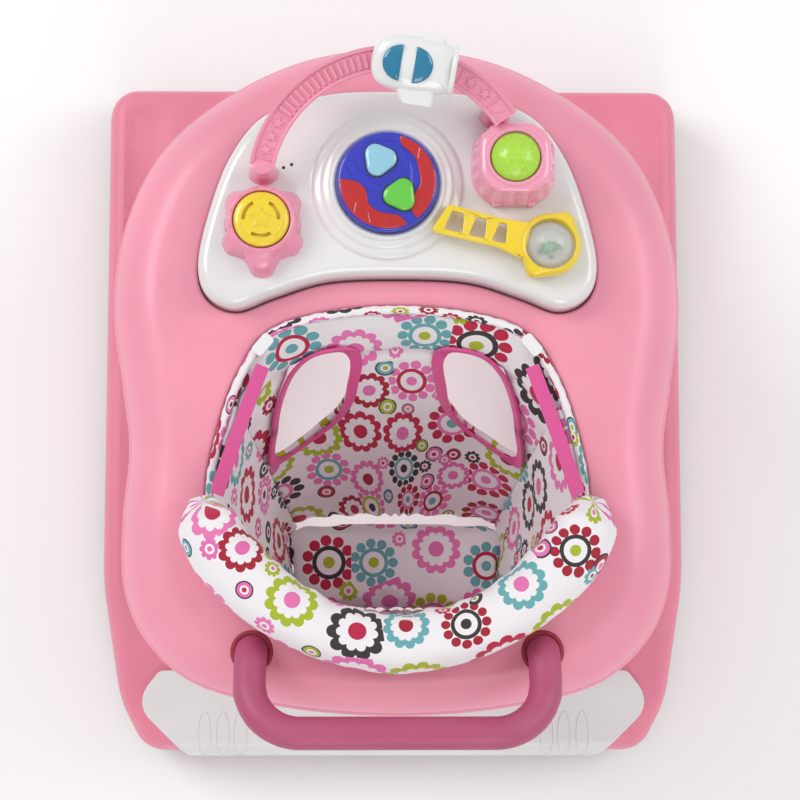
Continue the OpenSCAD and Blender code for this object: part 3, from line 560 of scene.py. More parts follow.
# ---- node groups ----
class Net:
    """Shorthand for building one node tree."""

    def __init__(self, tree: bpy.types.NodeTree) -> None:
        """Keeps the tree that nodes are added to."""
        self.tree = tree

    def node(self, kind: str, **settings: object) -> bpy.types.Node:
        """Adds a node of that kind with its settings.

        Args:
            kind: Type of the node.
            settings: Settings of the node.

        Returns:
            The new node.
        """
        made = self.tree.nodes.new(kind)
        for key, value in settings.items():
            setattr(made, key, value)
        return made

    def put(self, socket: bpy.types.NodeSocket, value: object) -> None:
        """Links a socket to value, or sets it where value is a plain number or colour."""
        if isinstance(value, bpy.types.NodeSocket):
            self.tree.links.new(value, socket)
        elif value is not None:
            socket.default_value = value

    def math(self, how: str, a: object, b: object = None, c: object = None) -> bpy.types.NodeSocket:
        """Arithmetic on up to three values.

        Args:
            how: Kind of the operation.
            a: First value.
            b: Second value, where there is one.
            c: Third value, where there is one.

        Returns:
            The result.
        """
        made = self.node("ShaderNodeMath", operation=how)
        for socket, value in zip(made.inputs, (a, b, c)):
            self.put(socket, value)
        return made.outputs[0]

    def vector(self, how: str, a: object, b: object = None) -> bpy.types.NodeSocket:
        """Arithmetic on vectors; lengths come as a value.

        Args:
            how: Kind of the operation.
            a: First value.
            b: Second value, where there is one.

        Returns:
            The result.
        """
        made = self.node("ShaderNodeVectorMath", operation=how)
        self.put(made.inputs[0], a)
        if b is not None:
            self.put(made.inputs["Scale"] if how == "SCALE" else made.inputs[1], b)
        return made.outputs["Value" if how in ("LENGTH", "DOT_PRODUCT") else "Vector"]

    def mix(self, share: object, a: object, b: object, how: str = "MIX") -> bpy.types.NodeSocket:
        """Mixes two colours by a share.

        Args:
            share: Share from 0 to 1.
            a: First colour.
            b: Second colour.
            how: Kind of the operation.

        Returns:
            The mixed colour.
        """
        made = self.node("ShaderNodeMix", data_type="RGBA", blend_type=how)
        self.put(made.inputs[0], share)
        self.put(made.inputs[6], a)
        self.put(made.inputs[7], b)
        return made.outputs[2]

    def fit(
        self, value: object, low: object, high: object, to_low: object = 0.0, to_high: object = 1.0,
    ) -> bpy.types.NodeSocket:
        """Maps value from low..high to to_low..to_high, held at both ends.

        Args:
            value: Value to map.
            low: Low end of its range.
            high: High end of its range.
            to_low: Low end of the new range.
            to_high: High end of the new range.

        Returns:
            The mapped value.
        """
        made = self.node("ShaderNodeMapRange")
        for socket, v in zip(made.inputs, (value, low, high, to_low, to_high)):
            self.put(socket, v)
        return made.outputs[0]

    def below(self, value: object, limit: object) -> bpy.types.NodeSocket:
        """1 where value is below the limit."""
        return self.math("LESS_THAN", value, limit)

    def noise(self, at: object, scale: object, detail: float = 3.0) -> bpy.types.NodeSocket:
        """Soft noise from 0 to 1.

        Args:
            at: Place that is looked up.
            scale: Scale of the pattern.
            detail: Levels of detail.

        Returns:
            The noise.
        """
        made = self.node("ShaderNodeTexNoise")
        made.inputs["Detail"].default_value = detail
        self.put(made.inputs["Vector"], at)
        self.put(made.inputs["Scale"], scale)
        return made.outputs[0]

    def cells(self, at: object, scale: object, scatter: float, feature: str = "F1") -> bpy.types.Node:
        """Flat field of scattered cells.

        Args:
            at: Place that is looked up.
            scale: Scale of the pattern.
            scatter: How far cells stray from their grid.
            feature: Feature of the cells that is measured.

        Returns:
            The node, with its distance and colour.
        """
        made = self.node("ShaderNodeTexVoronoi", voronoi_dimensions="2D", feature=feature)
        made.inputs["Randomness"].default_value = scatter
        self.put(made.inputs["Vector"], at)
        self.put(made.inputs["Scale"], scale)
        return made

    def parts(self, at: object) -> tuple[bpy.types.NodeSocket, bpy.types.NodeSocket, bpy.types.NodeSocket]:
        """The three values of a vector or colour.

        Args:
            at: Vector or colour to take apart.

        Returns:
            The three values.
        """
        made = self.node("ShaderNodeSeparateXYZ")
        self.put(made.inputs[0], at)
        return made.outputs[0], made.outputs[1], made.outputs[2]

    def pick(self, share: object, colours: Sequence[Colour]) -> bpy.types.NodeSocket:
        """One of several colours, by a share from 0 to 1.

        Args:
            share: Share from 0 to 1.
            colours: Colours to choose from.

        Returns:
            The chosen colour.
        """
        made = self.node("ShaderNodeValToRGB")
        ramp = made.color_ramp
        ramp.interpolation = "CONSTANT"
        while len(ramp.elements) < len(colours):
            ramp.elements.new(1.0)
        for i, c in enumerate(colours):
            ramp.elements[i].position = i / len(colours)
            ramp.elements[i].color = (*c, 1)
        self.put(made.inputs[0], share)
        return made.outputs[0]


SOCKETS = {"value": "NodeSocketFloat", "vector": "NodeSocketVector", "colour": "NodeSocketColor"}


def group(
    name: str,
    inputs: dict[str, tuple[str, object]],
    outputs: dict[str, str],
    fill: Callable[[Net, dict[str, bpy.types.NodeSocket]], dict[str, object]],
) -> bpy.types.NodeTree:
    """Makes a shader node group once, and gives the same one after that.

    Args:
        name: Name of the group.
        inputs: Kind and default of each input, by name.
        outputs: Kind of each output, by name.
        fill: Builds the inside and returns what goes to each output.

    Returns:
        The group's tree.
    """
    known = bpy.data.node_groups.get(name)
    if known:
        return known
    tree = bpy.data.node_groups.new(name, "ShaderNodeTree")
    for key, (kind, default) in inputs.items():
        socket = tree.interface.new_socket(key, in_out="INPUT", socket_type=SOCKETS[kind])
        if default is not None:
            socket.default_value = default
    for key, kind in outputs.items():
        tree.interface.new_socket(key, in_out="OUTPUT", socket_type=SOCKETS[kind])
    net = Net(tree)
    source, sink = net.node("NodeGroupInput"), net.node("NodeGroupOutput")
    for key, value in fill(net, {k: source.outputs[k] for k in inputs}).items():
        net.put(sink.inputs[key], value)
    return tree


def mould_grain() -> bpy.types.NodeTree:
    """Fine texture and slow change of tone of moulded plastic."""

    def fill(net: Net, given: dict) -> dict:
        """Fine and coarse noise.

        Args:
            net: Writer of the node tree.
            given: The group's inputs by name.

        Returns:
            The group's outputs by name.
        """
        per_metre = net.math("DIVIDE", 1.0, given["Size"])
        fine = net.noise(given["Vector"], per_metre, 2.0)
        slow = net.noise(given["Vector"], 9.0, 2.0)
        return {"Height": fine, "Tone": net.fit(slow, 0.3, 0.7)}

    return group(
        "Mould grain",
        {"Vector": ("vector", None), "Size": ("value", 0.001)},
        {"Height": "value", "Tone": "value"},
        fill,
    )


def edge_wear() -> bpy.types.NodeTree:
    """Paler rubbed edges."""

    def fill(net: Net, given: dict) -> dict:
        """Sharp places, broken up by noise.

        Args:
            net: Writer of the node tree.
            given: The group's inputs by name.

        Returns:
            The group's outputs by name.
        """
        sharp = net.node("ShaderNodeNewGeometry").outputs["Pointiness"]
        rubbed = net.fit(sharp, 0.52, 0.62)
        patchy = net.fit(net.noise(given["Vector"], 60.0), 0.35, 0.65)
        mask = net.math("MULTIPLY", net.math("MULTIPLY", rubbed, patchy), given["Amount"])
        return {"Colour": net.mix(mask, given["Colour"], given["Worn"]), "Mask": mask}

    return group(
        "Edge wear",
        {"Vector": ("vector", None), "Colour": ("colour", (0.5, 0.5, 0.5, 1)),
         "Worn": ("colour", (0.9, 0.9, 0.9, 1)), "Amount": ("value", 0.3)},
        {"Colour": "colour", "Mask": "value"},
        fill,
    )


def settled_dust() -> bpy.types.NodeTree:
    """Thin dust on faces that look up."""

    def fill(net: Net, given: dict) -> dict:
        """Upward faces times cloudy noise.

        Args:
            net: Writer of the node tree.
            given: The group's inputs by name.

        Returns:
            The group's outputs by name.
        """
        _, _, up = net.parts(net.node("ShaderNodeNewGeometry").outputs["Normal"])
        cloudy = net.fit(net.noise(given["Vector"], 25.0, 5.0), 0.4, 0.75)
        shown = net.math("MULTIPLY", net.fit(up, 0.3, 1.0), cloudy)
        return {"Mask": net.math("MULTIPLY", shown, given["Amount"])}

    return group(
        "Settled dust",
        {"Vector": ("vector", None), "Amount": ("value", 0.1)},
        {"Mask": "value"},
        fill,
    )


def weave() -> bpy.types.NodeTree:
    """Plain weave: threads that pass over and under each other."""

    def fill(net: Net, given: dict) -> dict:
        """Two sets of threads at right angles.

        Args:
            net: Writer of the node tree.
            given: The group's inputs by name.

        Returns:
            The group's outputs by name.
        """
        scaled = net.vector("SCALE", given["Vector"], net.math("DIVIDE", math.pi, given["Thread"]))
        x, y, _ = net.parts(scaled)
        over = net.math("MULTIPLY", net.math("SINE", x), net.math("SINE", y))
        rough = net.noise(given["Vector"], 900.0, 2.0)
        height = net.math("ADD", net.fit(over, -1.0, 1.0), net.math("MULTIPLY", rough, 0.35))
        # Shade is low where the threads dip under; it darkens the colour there as painted shade between threads.
        return {"Height": height, "Shade": net.fit(over, -0.9, 0.9)}

    return group(
        "Weave",
        {"Vector": ("vector", None), "Thread": ("value", 0.0006)},
        {"Height": "value", "Shade": "value"},
        fill,
    )


def twill() -> bpy.types.NodeTree:
    """Slanting ribs of a woven tape."""

    def fill(net: Net, given: dict) -> dict:
        """Ribs along the diagonal.

        Args:
            net: Writer of the node tree.
            given: The group's inputs by name.

        Returns:
            The group's outputs by name.
        """
        scaled = net.vector("SCALE", given["Vector"], net.math("DIVIDE", 2 * math.pi, given["Rib"]))
        x, y, _ = net.parts(scaled)
        ribs = net.math("SINE", net.math("ADD", x, y))
        return {"Height": net.fit(ribs, -1.0, 1.0)}

    return group(
        "Twill", {"Vector": ("vector", None), "Rib": ("value", 0.0016)}, {"Height": "value"}, fill
    )


PRINT_COLOURS: tuple[Colour, ...] = (
    (0.80, 0.16, 0.44), (0.40, 0.008, 0.03), (0.14, 0.42, 0.45), (0.42, 0.50, 0.02),
    (0.84, 0.20, 0.48), (0.035, 0.028, 0.032), (0.52, 0.01, 0.06), (0.80, 0.18, 0.46),
)
CLOTH_WHITE: Colour = (0.90, 0.87, 0.89)


def flower_print() -> bpy.types.NodeTree:
    """Large flowers of two kinds, with rings and small flowers in the places between them."""

    def fill(net: Net, given: dict) -> dict:
        """Two layers of round motifs over white.

        Args:
            net: Writer of the node tree.
            given: The group's inputs by name.

        Returns:
            The group's outputs by name.
        """
        white = (*CLOTH_WHITE, 1)
        ink = (*PRINT_COLOURS[5], 1)

        def distance(away: bpy.types.NodeSocket) -> bpy.types.NodeSocket:
            """Length of a flat vector."""
            x, y, _ = net.parts(away)
            return net.math("SQRT", net.math("ADD", net.math("MULTIPLY", x, x), net.math("MULTIPLY", y, y)))

        def petals(
            share: object, turn: object, count: object, reach: float, width: float,
        ) -> bpy.types.NodeSocket:
            """Mask of round petals on a circle at reach.

            Args:
                share: Distance from the middle.
                turn: Angle round the middle in radians.
                count: Number of petals.
                reach: Distance of the petals from the middle.
                width: Width of the petals.

            Returns:
                The mask.
            """
            step = net.math("DIVIDE", 2 * math.pi, count)
            within = net.math("MODULO", net.math("ADD", turn, math.pi), step)
            local = net.math("SUBTRACT", within, net.math("MULTIPLY", step, 0.5))
            side = net.math("MULTIPLY", net.math("MULTIPLY", share, net.math("COSINE", local)), -2 * reach)
            square = net.math("ADD", net.math("ADD", net.math("MULTIPLY", share, share), reach * reach), side)
            radius = net.math("MULTIPLY", net.math("SINE", net.math("MULTIPLY", step, 0.5)), reach * width)
            return net.below(square, net.math("MULTIPLY", radius, radius))

        big = net.math("DIVIDE", 1.0, given["Cell"])
        cell = net.cells(given["Vector"], big, 0.5)
        away = net.vector("SUBTRACT", given["Vector"], cell.outputs["Position"])
        x, y, _ = net.parts(away)
        one, two, three = net.parts(cell.outputs["Color"])
        size = net.fit(one, 0.0, 1.0, 0.37, 0.50)
        share = net.math("DIVIDE", net.math("MULTIPLY", distance(away), big), size)
        turn = net.math("ARCTAN2", y, x)
        count = net.math("ROUND", net.fit(two, 0.0, 1.0, 9.0, 13.0))
        outer = net.pick(one, PRINT_COLOURS)
        inner = net.pick(three, PRINT_COLOURS[3:] + PRINT_COLOURS[:3])
        heart = net.pick(two, PRINT_COLOURS[2:] + PRINT_COLOURS[:2])

        band = net.math("MAXIMUM", petals(share, turn, count, 0.80, 0.98), net.below(share, 0.84))
        short_petals = petals(net.math("MULTIPLY", share, 1.45), turn, count, 0.80, 0.98)
        hollow = net.math("MAXIMUM", short_petals, net.below(share, 0.58))
        scalloped = net.mix(band, white, outer)
        scalloped = net.mix(hollow, scalloped, white)
        scalloped = net.mix(net.below(share, 0.31), scalloped, heart)

        loose = petals(share, turn, net.math("ADD", count, 1.0), 0.82, 0.88)
        leafy = net.mix(net.math("MAXIMUM", loose, net.below(share, 0.62)), white, outer)
        leafy = net.mix(net.below(share, 0.62), leafy, inner)
        leafy = net.mix(net.below(share, 0.46), leafy, white)
        leafy = net.mix(net.below(share, 0.22), leafy, heart)
        flower = net.mix(net.below(two, 0.5), scalloped, leafy)

        small = net.math("DIVIDE", 2.3, given["Cell"])
        shift = (0.31, 0.17, 0.0)
        cell_2 = net.cells(net.vector("ADD", given["Vector"], shift), small, 0.75)
        place = net.vector("SUBTRACT", cell_2.outputs["Position"], shift)
        away_2 = net.vector("SUBTRACT", given["Vector"], place)
        x_2, y_2, _ = net.parts(away_2)
        one_2, two_2, three_2 = net.parts(cell_2.outputs["Color"])
        size_2 = net.fit(three_2, 0.0, 1.0, 0.30, 0.48)
        there = net.cells(place, big, 0.5)
        there_one, _, _ = net.parts(there.outputs["Color"])
        gap_2 = net.math("MULTIPLY", there.outputs["Distance"], 1.0)
        clear = net.math("SUBTRACT", gap_2, net.math("DIVIDE", size_2, 2.3))
        free = net.math("GREATER_THAN", clear, net.fit(there_one, 0.0, 1.0, 0.30, 0.43))
        share_2 = net.math("DIVIDE", net.math("MULTIPLY", distance(away_2), small), size_2)
        fill_2 = net.pick(two_2, PRINT_COLOURS)
        ring = net.mix(net.below(share_2, 0.84), ink, fill_2)
        ring = net.mix(net.below(share_2, 0.50), ring, white)
        ring = net.mix(net.below(share_2, 0.28), ring, net.pick(one_2, PRINT_COLOURS[3:] + PRINT_COLOURS[:3]))
        bloom_petals = petals(share_2, net.math("ARCTAN2", y_2, x_2), 9.0, 0.80, 0.95)
        bloom_mask = net.math("MAXIMUM", bloom_petals, net.below(share_2, 0.8))
        bloom = net.mix(net.below(share_2, 0.5), fill_2, white)
        bloom = net.mix(net.below(share_2, 0.26), bloom, net.pick(one_2, PRINT_COLOURS[2:] + PRINT_COLOURS[:2]))
        kind = net.math("GREATER_THAN", one_2, 0.45)
        dot = net.mix(kind, ring, bloom)
        shape_mask = net.mix(kind, net.below(share_2, 1.0), bloom_mask)
        shown = net.math("MULTIPLY", net.parts(shape_mask)[0], free)
        return {"Colour": net.mix(shown, flower, dot)}

    return group(
        "Flower print",
        {"Vector": ("vector", None), "Cell": ("value", 0.06)},
        {"Colour": "colour"},
        fill,
    )


# ---- finishes ----
@dataclass(frozen=True)
class Finish:
    """A finish with a name, which becomes one material."""

    name: str

    def material(self) -> bpy.types.Material:
        """The finish's material, built the first time it is asked for.

        Returns:
            The material.
        """
        known = bpy.data.materials.get(self.name)
        if known:
            return known
        made = bpy.data.materials.new(self.name)
        made.use_nodes = True
        net = Net(made.node_tree)
        self.dress(net, made.node_tree.nodes["Principled BSDF"])
        return made

    def dress(self, net: Net, shader: bpy.types.Node) -> None:
        """Sets the shader; each kind of finish has its own way."""
        raise NotImplementedError

    @staticmethod
    def use(net: Net, tree: bpy.types.NodeTree, **given: object) -> bpy.types.Node:
        """Places a node group with its inputs.

        Args:
            net: Writer of the node tree.
            tree: Group to place.
            given: Values of its inputs.

        Returns:
            The placed node.
        """
        made = net.node("ShaderNodeGroup", node_tree=tree)
        for key, value in given.items():
            net.put(made.inputs[key], value)
        return made

    @staticmethod
    def bump(net: Net, shader: bpy.types.Node, height: object, depth: float, strength: float = 1.0) -> None:
        """Feeds a height, in millimetres when it is 1, to the shader's normal.

        Args:
            net: Writer of the node tree.
            shader: The material's shader.
            height: Height from 0 to 1.
            depth: Depth in millimetres.
            strength: Share of the effect.
        """
        made = net.node("ShaderNodeBump")
        made.inputs["Strength"].default_value = strength
        made.inputs["Distance"].default_value = depth * MM
        net.put(made.inputs["Height"], height)
        net.put(shader.inputs["Normal"], made.outputs[0])


@dataclass(frozen=True)
class Moulded(Finish):
    """Moulded plastic or rubber."""

    colour: Colour = (0.8, 0.8, 0.8)
    roughness: float = 0.32
    coat: float = 0.0
    grain: float = 0.02
    grain_size: float = 0.9
    wear: float = 0.12
    dust: float = 0.05
    glow: float = 0.0
    clear: float = 0.0

    def dress(self, net: Net, shader: bpy.types.Node) -> None:
        """Colour that drifts a little, rubbed edges, thin dust and mould grain.

        Args:
            net: Writer of the node tree.
            shader: The material's shader.
        """
        at = net.node("ShaderNodeTexCoord").outputs["Object"]
        grain = self.use(net, mould_grain(), Vector=at, Size=self.grain_size * MM)
        low = tuple(c * 0.93 for c in self.colour)
        tone = net.mix(grain.outputs["Tone"], (*low, 1), (*self.colour, 1))
        paler = tuple(0.35 + 0.65 * c for c in self.colour)
        worn = self.use(net, edge_wear(), Vector=at, Colour=tone, Worn=(*paler, 1), Amount=self.wear)
        dust = self.use(net, settled_dust(), Vector=at, Amount=self.dust)
        dusty = net.mix(dust.outputs["Mask"], worn.outputs["Colour"], (0.72, 0.69, 0.67, 1))
        net.put(shader.inputs["Base Color"], dusty)
        dull = net.math("ADD", self.roughness, net.math("MULTIPLY", grain.outputs["Tone"], 0.05))
        dull = net.math("ADD", dull, net.math("MULTIPLY", worn.outputs["Mask"], 0.2))
        net.put(shader.inputs["Roughness"], net.math("ADD", dull, net.math("MULTIPLY", dust.outputs["Mask"], 0.5)))
        shader.inputs["Coat Weight"].default_value = self.coat
        shader.inputs["Coat Roughness"].default_value = 0.08
        shader.inputs["Subsurface Weight"].default_value = self.glow
        shader.inputs["Subsurface Radius"].default_value = (0.004, 0.002, 0.002)
        shader.inputs["Transmission Weight"].default_value = self.clear
        self.bump(net, shader, grain.outputs["Height"], self.grain)


@dataclass(frozen=True)
class Metal(Finish):
    """Bare or coated steel."""

    colour: Colour = (0.6, 0.6, 0.6)
    bare: float = 1.0
    roughness: float = 0.3
    line: float = 0.0006

    def dress(self, net: Net, shader: bpy.types.Node) -> None:
        """Fine drawn lines on bare steel, orange peel on a coat.

        Args:
            net: Writer of the node tree.
            shader: The material's shader.
        """
        at = net.node("ShaderNodeTexCoord").outputs["Object"]
        grain = self.use(net, mould_grain(), Vector=at, Size=self.line)
        worn = self.use(
            net, edge_wear(), Vector=at, Colour=(*self.colour, 1), Worn=(0.75, 0.75, 0.76, 1), Amount=0.3,
        )
        net.put(shader.inputs["Base Color"], worn.outputs["Colour"])
        dull = net.fit(grain.outputs["Tone"], 0.0, 1.0, self.roughness, self.roughness + 0.12)
        net.put(shader.inputs["Roughness"], dull)
        shader.inputs["Metallic"].default_value = self.bare
        self.bump(net, shader, grain.outputs["Height"], 0.01)


@dataclass(frozen=True)
class PrintedCloth(Finish):
    """Woven polyester with the flower print, on the cloth's own flat coordinates."""

    cell: float = 0.056
    thread: float = 0.0007

    def dress(self, net: Net, shader: bpy.types.Node) -> None:
        """Print, threads with painted shade where they dip under, and a soft sheen.

        Args:
            net: Writer of the node tree.
            shader: The material's shader.
        """
        at = net.node("ShaderNodeUVMap", uv_map=CLOTH_MAP).outputs[0]
        drawn = self.use(net, flower_print(), Vector=at, Cell=self.cell)
        threads = self.use(net, weave(), Vector=at, Thread=self.thread)
        # The print is darkened where the threads dip: painted shade between the threads.
        darker = net.mix(1.0, drawn.outputs["Colour"], (0.86, 0.85, 0.86, 1), "MULTIPLY")
        net.put(shader.inputs["Base Color"], net.mix(threads.outputs["Shade"], darker, drawn.outputs["Colour"]))
        soft = net.fit(threads.outputs["Shade"], 0.0, 1.0, 0.72, 0.86)
        net.put(shader.inputs["Roughness"], soft)
        shader.inputs["Sheen Weight"].default_value = 0.15
        shader.inputs["Sheen Roughness"].default_value = 0.5
        self.bump(net, shader, threads.outputs["Height"], 0.12, 0.6)


@dataclass(frozen=True)
class Tape(Finish):
    """Woven tape in one colour."""

    colour: Colour = (0.8, 0.1, 0.4)
    rib: float = 0.0016

    def dress(self, net: Net, shader: bpy.types.Node) -> None:
        """Twill ribs, with painted shade darkening the valleys between them.

        Args:
            net: Writer of the node tree.
            shader: The material's shader.
        """
        at = net.node("ShaderNodeUVMap", uv_map=CLOTH_MAP).outputs[0]
        ribs = self.use(net, twill(), Vector=at, Rib=self.rib)
        # Colour darkened in the rib valleys: painted shade between the ribs.
        dark = tuple(c * 0.72 for c in self.colour)
        net.put(shader.inputs["Base Color"], net.mix(ribs.outputs["Height"], (*dark, 1), (*self.colour, 1)))
        net.put(shader.inputs["Roughness"], net.fit(ribs.outputs["Height"], 0.0, 1.0, 0.8, 0.62))
        shader.inputs["Sheen Weight"].default_value = 0.2
        self.bump(net, shader, ribs.outputs["Height"], 0.25)


@dataclass(frozen=True)
class ClearPlastic(Finish):
    """See-through shell of a toy."""

    tint: Colour = (0.93, 0.97, 0.98)
    cover: float = 0.16

    def dress(self, net: Net, shader: bpy.types.Node) -> None:
        """Thin clear skin with slightly uneven gloss and cover.

        Args:
            net: Writer of the node tree.
            shader: The material's shader.
        """
        at = net.node("ShaderNodeTexCoord").outputs["Object"]
        grain = self.use(net, mould_grain(), Vector=at, Size=0.004)
        shader.inputs["Base Color"].default_value = (*self.tint, 1)
        shader.inputs["Coat Weight"].default_value = 1.0
        shader.inputs["Coat Roughness"].default_value = 0.03
        net.put(shader.inputs["Roughness"], net.fit(grain.outputs["Tone"], 0.0, 1.0, 0.04, 0.1))
        net.put(shader.inputs["Alpha"], net.fit(grain.outputs["Tone"], 0.0, 1.0, self.cover, self.cover + 0.06))


class Finishes:
    """Every finish of the walker."""

    base = Moulded("Base pink", (0.83, 0.235, 0.345), roughness=0.42, grain=0.03)
    bumper = Moulded("Bumper white", (0.80, 0.79, 0.78), roughness=0.36, grain=0.02)
    tray = Moulded("Tray pink", (0.89, 0.31, 0.43), roughness=0.36, coat=0.12, grain=0.02)
    rail = Moulded("Rail pink", (0.62, 0.17, 0.26), roughness=0.5)
    # Dark red for the rings round the handle sockets: painted shade of the gap there, not a coloured part.
    collar = Moulded("Socket gap painted shade", (0.34, 0.02, 0.05), roughness=0.5, dust=0.0)
    handle = Moulded("Handle magenta", (0.46, 0.075, 0.175), roughness=0.46, grain=0.05, grain_size=0.7)
    latch = Moulded("Latch magenta", (0.58, 0.09, 0.22), roughness=0.4)
    white = Moulded("Toy white", (0.80, 0.79, 0.785), roughness=0.14, coat=0.5, grain=0.004, dust=0.02)
    cover = Moulded("Cover white", (0.74, 0.73, 0.72), roughness=0.5)
    # Near black for the sound holes and the gaps round the buttons: painted shade of holes and gaps.
    dark = Moulded("Hole and gap painted shade", (0.015, 0.015, 0.017), roughness=0.6, dust=0.0)
    board = Moulded("Board green", (0.02, 0.17, 0.06), roughness=0.4)
    blue = Moulded("Disc blue", (0.025, 0.035, 0.50), roughness=0.18, coat=0.5, grain=0.004, dust=0.01)
    red = Moulded("Lens red", (0.52, 0.004, 0.004), roughness=0.10, coat=0.9, grain=0.003, dust=0.0)
    sky = Moulded("Button sky blue", (0.30, 0.60, 0.74), roughness=0.15, coat=0.6, grain=0.004, glow=0.2)
    leaf = Moulded("Button green", (0.13, 0.60, 0.05), roughness=0.15, coat=0.6, grain=0.004, glow=0.2)
    toy_pink = Moulded("Toy pink", (0.86, 0.30, 0.43), roughness=0.24, coat=0.35, grain=0.006, glow=0.1)
    box_pink = Moulded("Box pink", (0.90, 0.36, 0.50), roughness=0.14, coat=0.6, grain=0.004, glow=0.35)
    plane = Moulded("Plane white", (0.86, 0.86, 0.86), roughness=0.16, coat=0.5, grain=0.004)
    window = Moulded("Window blue", (0.005, 0.20, 0.36), roughness=0.12, coat=0.8, grain=0.003)
    yellow = Moulded("Toy yellow", (0.90, 0.66, 0.02), roughness=0.18, coat=0.5, grain=0.004, glow=0.1)
    lime = Moulded("Dome green", (0.44, 0.75, 0.06), roughness=0.24, coat=0.3, grain=0.006, glow=0.25)
    bead = Moulded("Bead green", (0.02, 0.32, 0.08), roughness=0.12, coat=0.6)
    clear = ClearPlastic("Clear shell")
    rubber = Moulded("Stopper rubber", (0.035, 0.035, 0.038), roughness=0.78, grain=0.12, wear=0.3)
    wheel = Moulded("Wheel charcoal", (0.035, 0.035, 0.04), roughness=0.52, wear=0.3, dust=0.15)
    fork = Moulded("Fork white", (0.70, 0.70, 0.71), roughness=0.42)
    steel = Metal("Zinc plated steel", (0.56, 0.57, 0.58), roughness=0.28)
    paint = Metal("White powder coat", (0.78, 0.78, 0.78), bare=0.0, roughness=0.34, line=0.0015)
    can = Metal("Battery can", (0.55, 0.30, 0.05), bare=0.6, roughness=0.3)
    speaker = Moulded("Speaker black", (0.02, 0.02, 0.022), roughness=0.7)
    cloth = PrintedCloth("Printed cloth")
    binding = Tape("Binding pink", (0.85, 0.085, 0.34))
    webbing = Tape("Webbing pink", (0.86, 0.11, 0.38), rib=0.0022)
    clip = Moulded("Clip white", (0.84, 0.84, 0.84), roughness=0.25, coat=0.3)


class SubAssembly:
    """What every sub-assembly can do with its pieces."""

    def fit_piece(
        self,
        obj: bpy.types.Object,
        body: str,
        slot: str,
        finish: Finish,
        replaces: Sequence[str] = (),
        crisp: float = 40.0,
    ) -> bpy.types.Object:
        """Shades a piece, gives it its finish and ties it to its body.

        Args:
            obj: The piece, in place.
            body: Body that it rides on.
            slot: Not used.
            finish: Its finish.
            replaces: Nodes of the frame that it stands for.
            crisp: Angle above which an edge stays sharp, in degrees.

        Returns:
            The same piece.
        """
        shade(obj, crisp)
        obj.data.materials.clear()
        obj.data.materials.append(finish.material())
        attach(obj, body)
        if replaces:
            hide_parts(*replaces)
        LOG.info("%s rides on %s, %d faces", obj.name, body, len(obj.data.polygons))
        return obj

    def dress_node(self, name: str, finish: Finish, crisp: float = 30.0) -> None:
        """Gives a node of the frame its finish and smooth shading.

        Args:
            name: Name of the node.
            finish: Finish that it gets.
            crisp: Angle in degrees above which an edge stays crisp.
        """
        obj = bpy.data.objects[name]
        obj.data.materials.clear()
        obj.data.materials.append(finish.material())
        obj.data.polygons.foreach_set("use_smooth", [True] * len(obj.data.polygons))
        edges = obj.modifiers.new("Crisp edges", "EDGE_SPLIT")
        edges.split_angle = math.radians(crisp)
        LOG.info("%s keeps its shape and gets %s", name, finish.name)


# ---- shared places ----
@dataclass(frozen=True)
class Levels:
    """Heights and shifts that several sub-assemblies share."""

    skirt: float = 30
    base_top: float = 96
    tray_pivot: float = 372
    pocket: float = 426
    deck: float = 438
    toy: float = 462
    pan: float = 216
    tray_dy: float = 6


Z = Levels()
SEAT_HOLE = both_sides(
    [(0, -236), (50, -231), (97, -214), (136, -188), (160, -150), (167, -105), (158, -55),
     (141, -5), (114, 34), (66, 51), (0, 57)], Z.tray_dy)
TOY_EDGE = both_sides(
    [(0, 82), (62, 79), (108, 65), (142, 53), (167, 64), (175, 92), (166, 138), (147, 189),
     (116, 226), (62, 244), (0, 247)], Z.tray_dy)


def rounding(radius: float, steps: int = 6) -> list[Point2]:
    """Drops and insets of a quarter round, from the top face to the wall."""
    a = np.linspace(0, math.pi / 2, steps + 1)
    return [(radius * (1 - math.sin(t)), radius * (1 - math.cos(t))) for t in a]


def rounded_prism(
    shape: Shape, outline: np.ndarray, low: float, high: float, radius: float, spacing: float = 0
) -> None:
    """Prism with a rounded top edge.

    Args:
        shape: Where it is added.
        outline: Its outline.
        low: Height of its foot.
        high: Height of its top.
        radius: Rounding of the top edge.
        spacing: Net spacing on the top face; a single face if 0.
    """
    rings = [(outline, low)] + [(inset(outline, i), high - d) for i, d in rounding(radius)[::-1]]
    loops = shape.loft(rings, end=not spacing)
    if spacing:
        shape.plate(loops[-1], [], spacing)


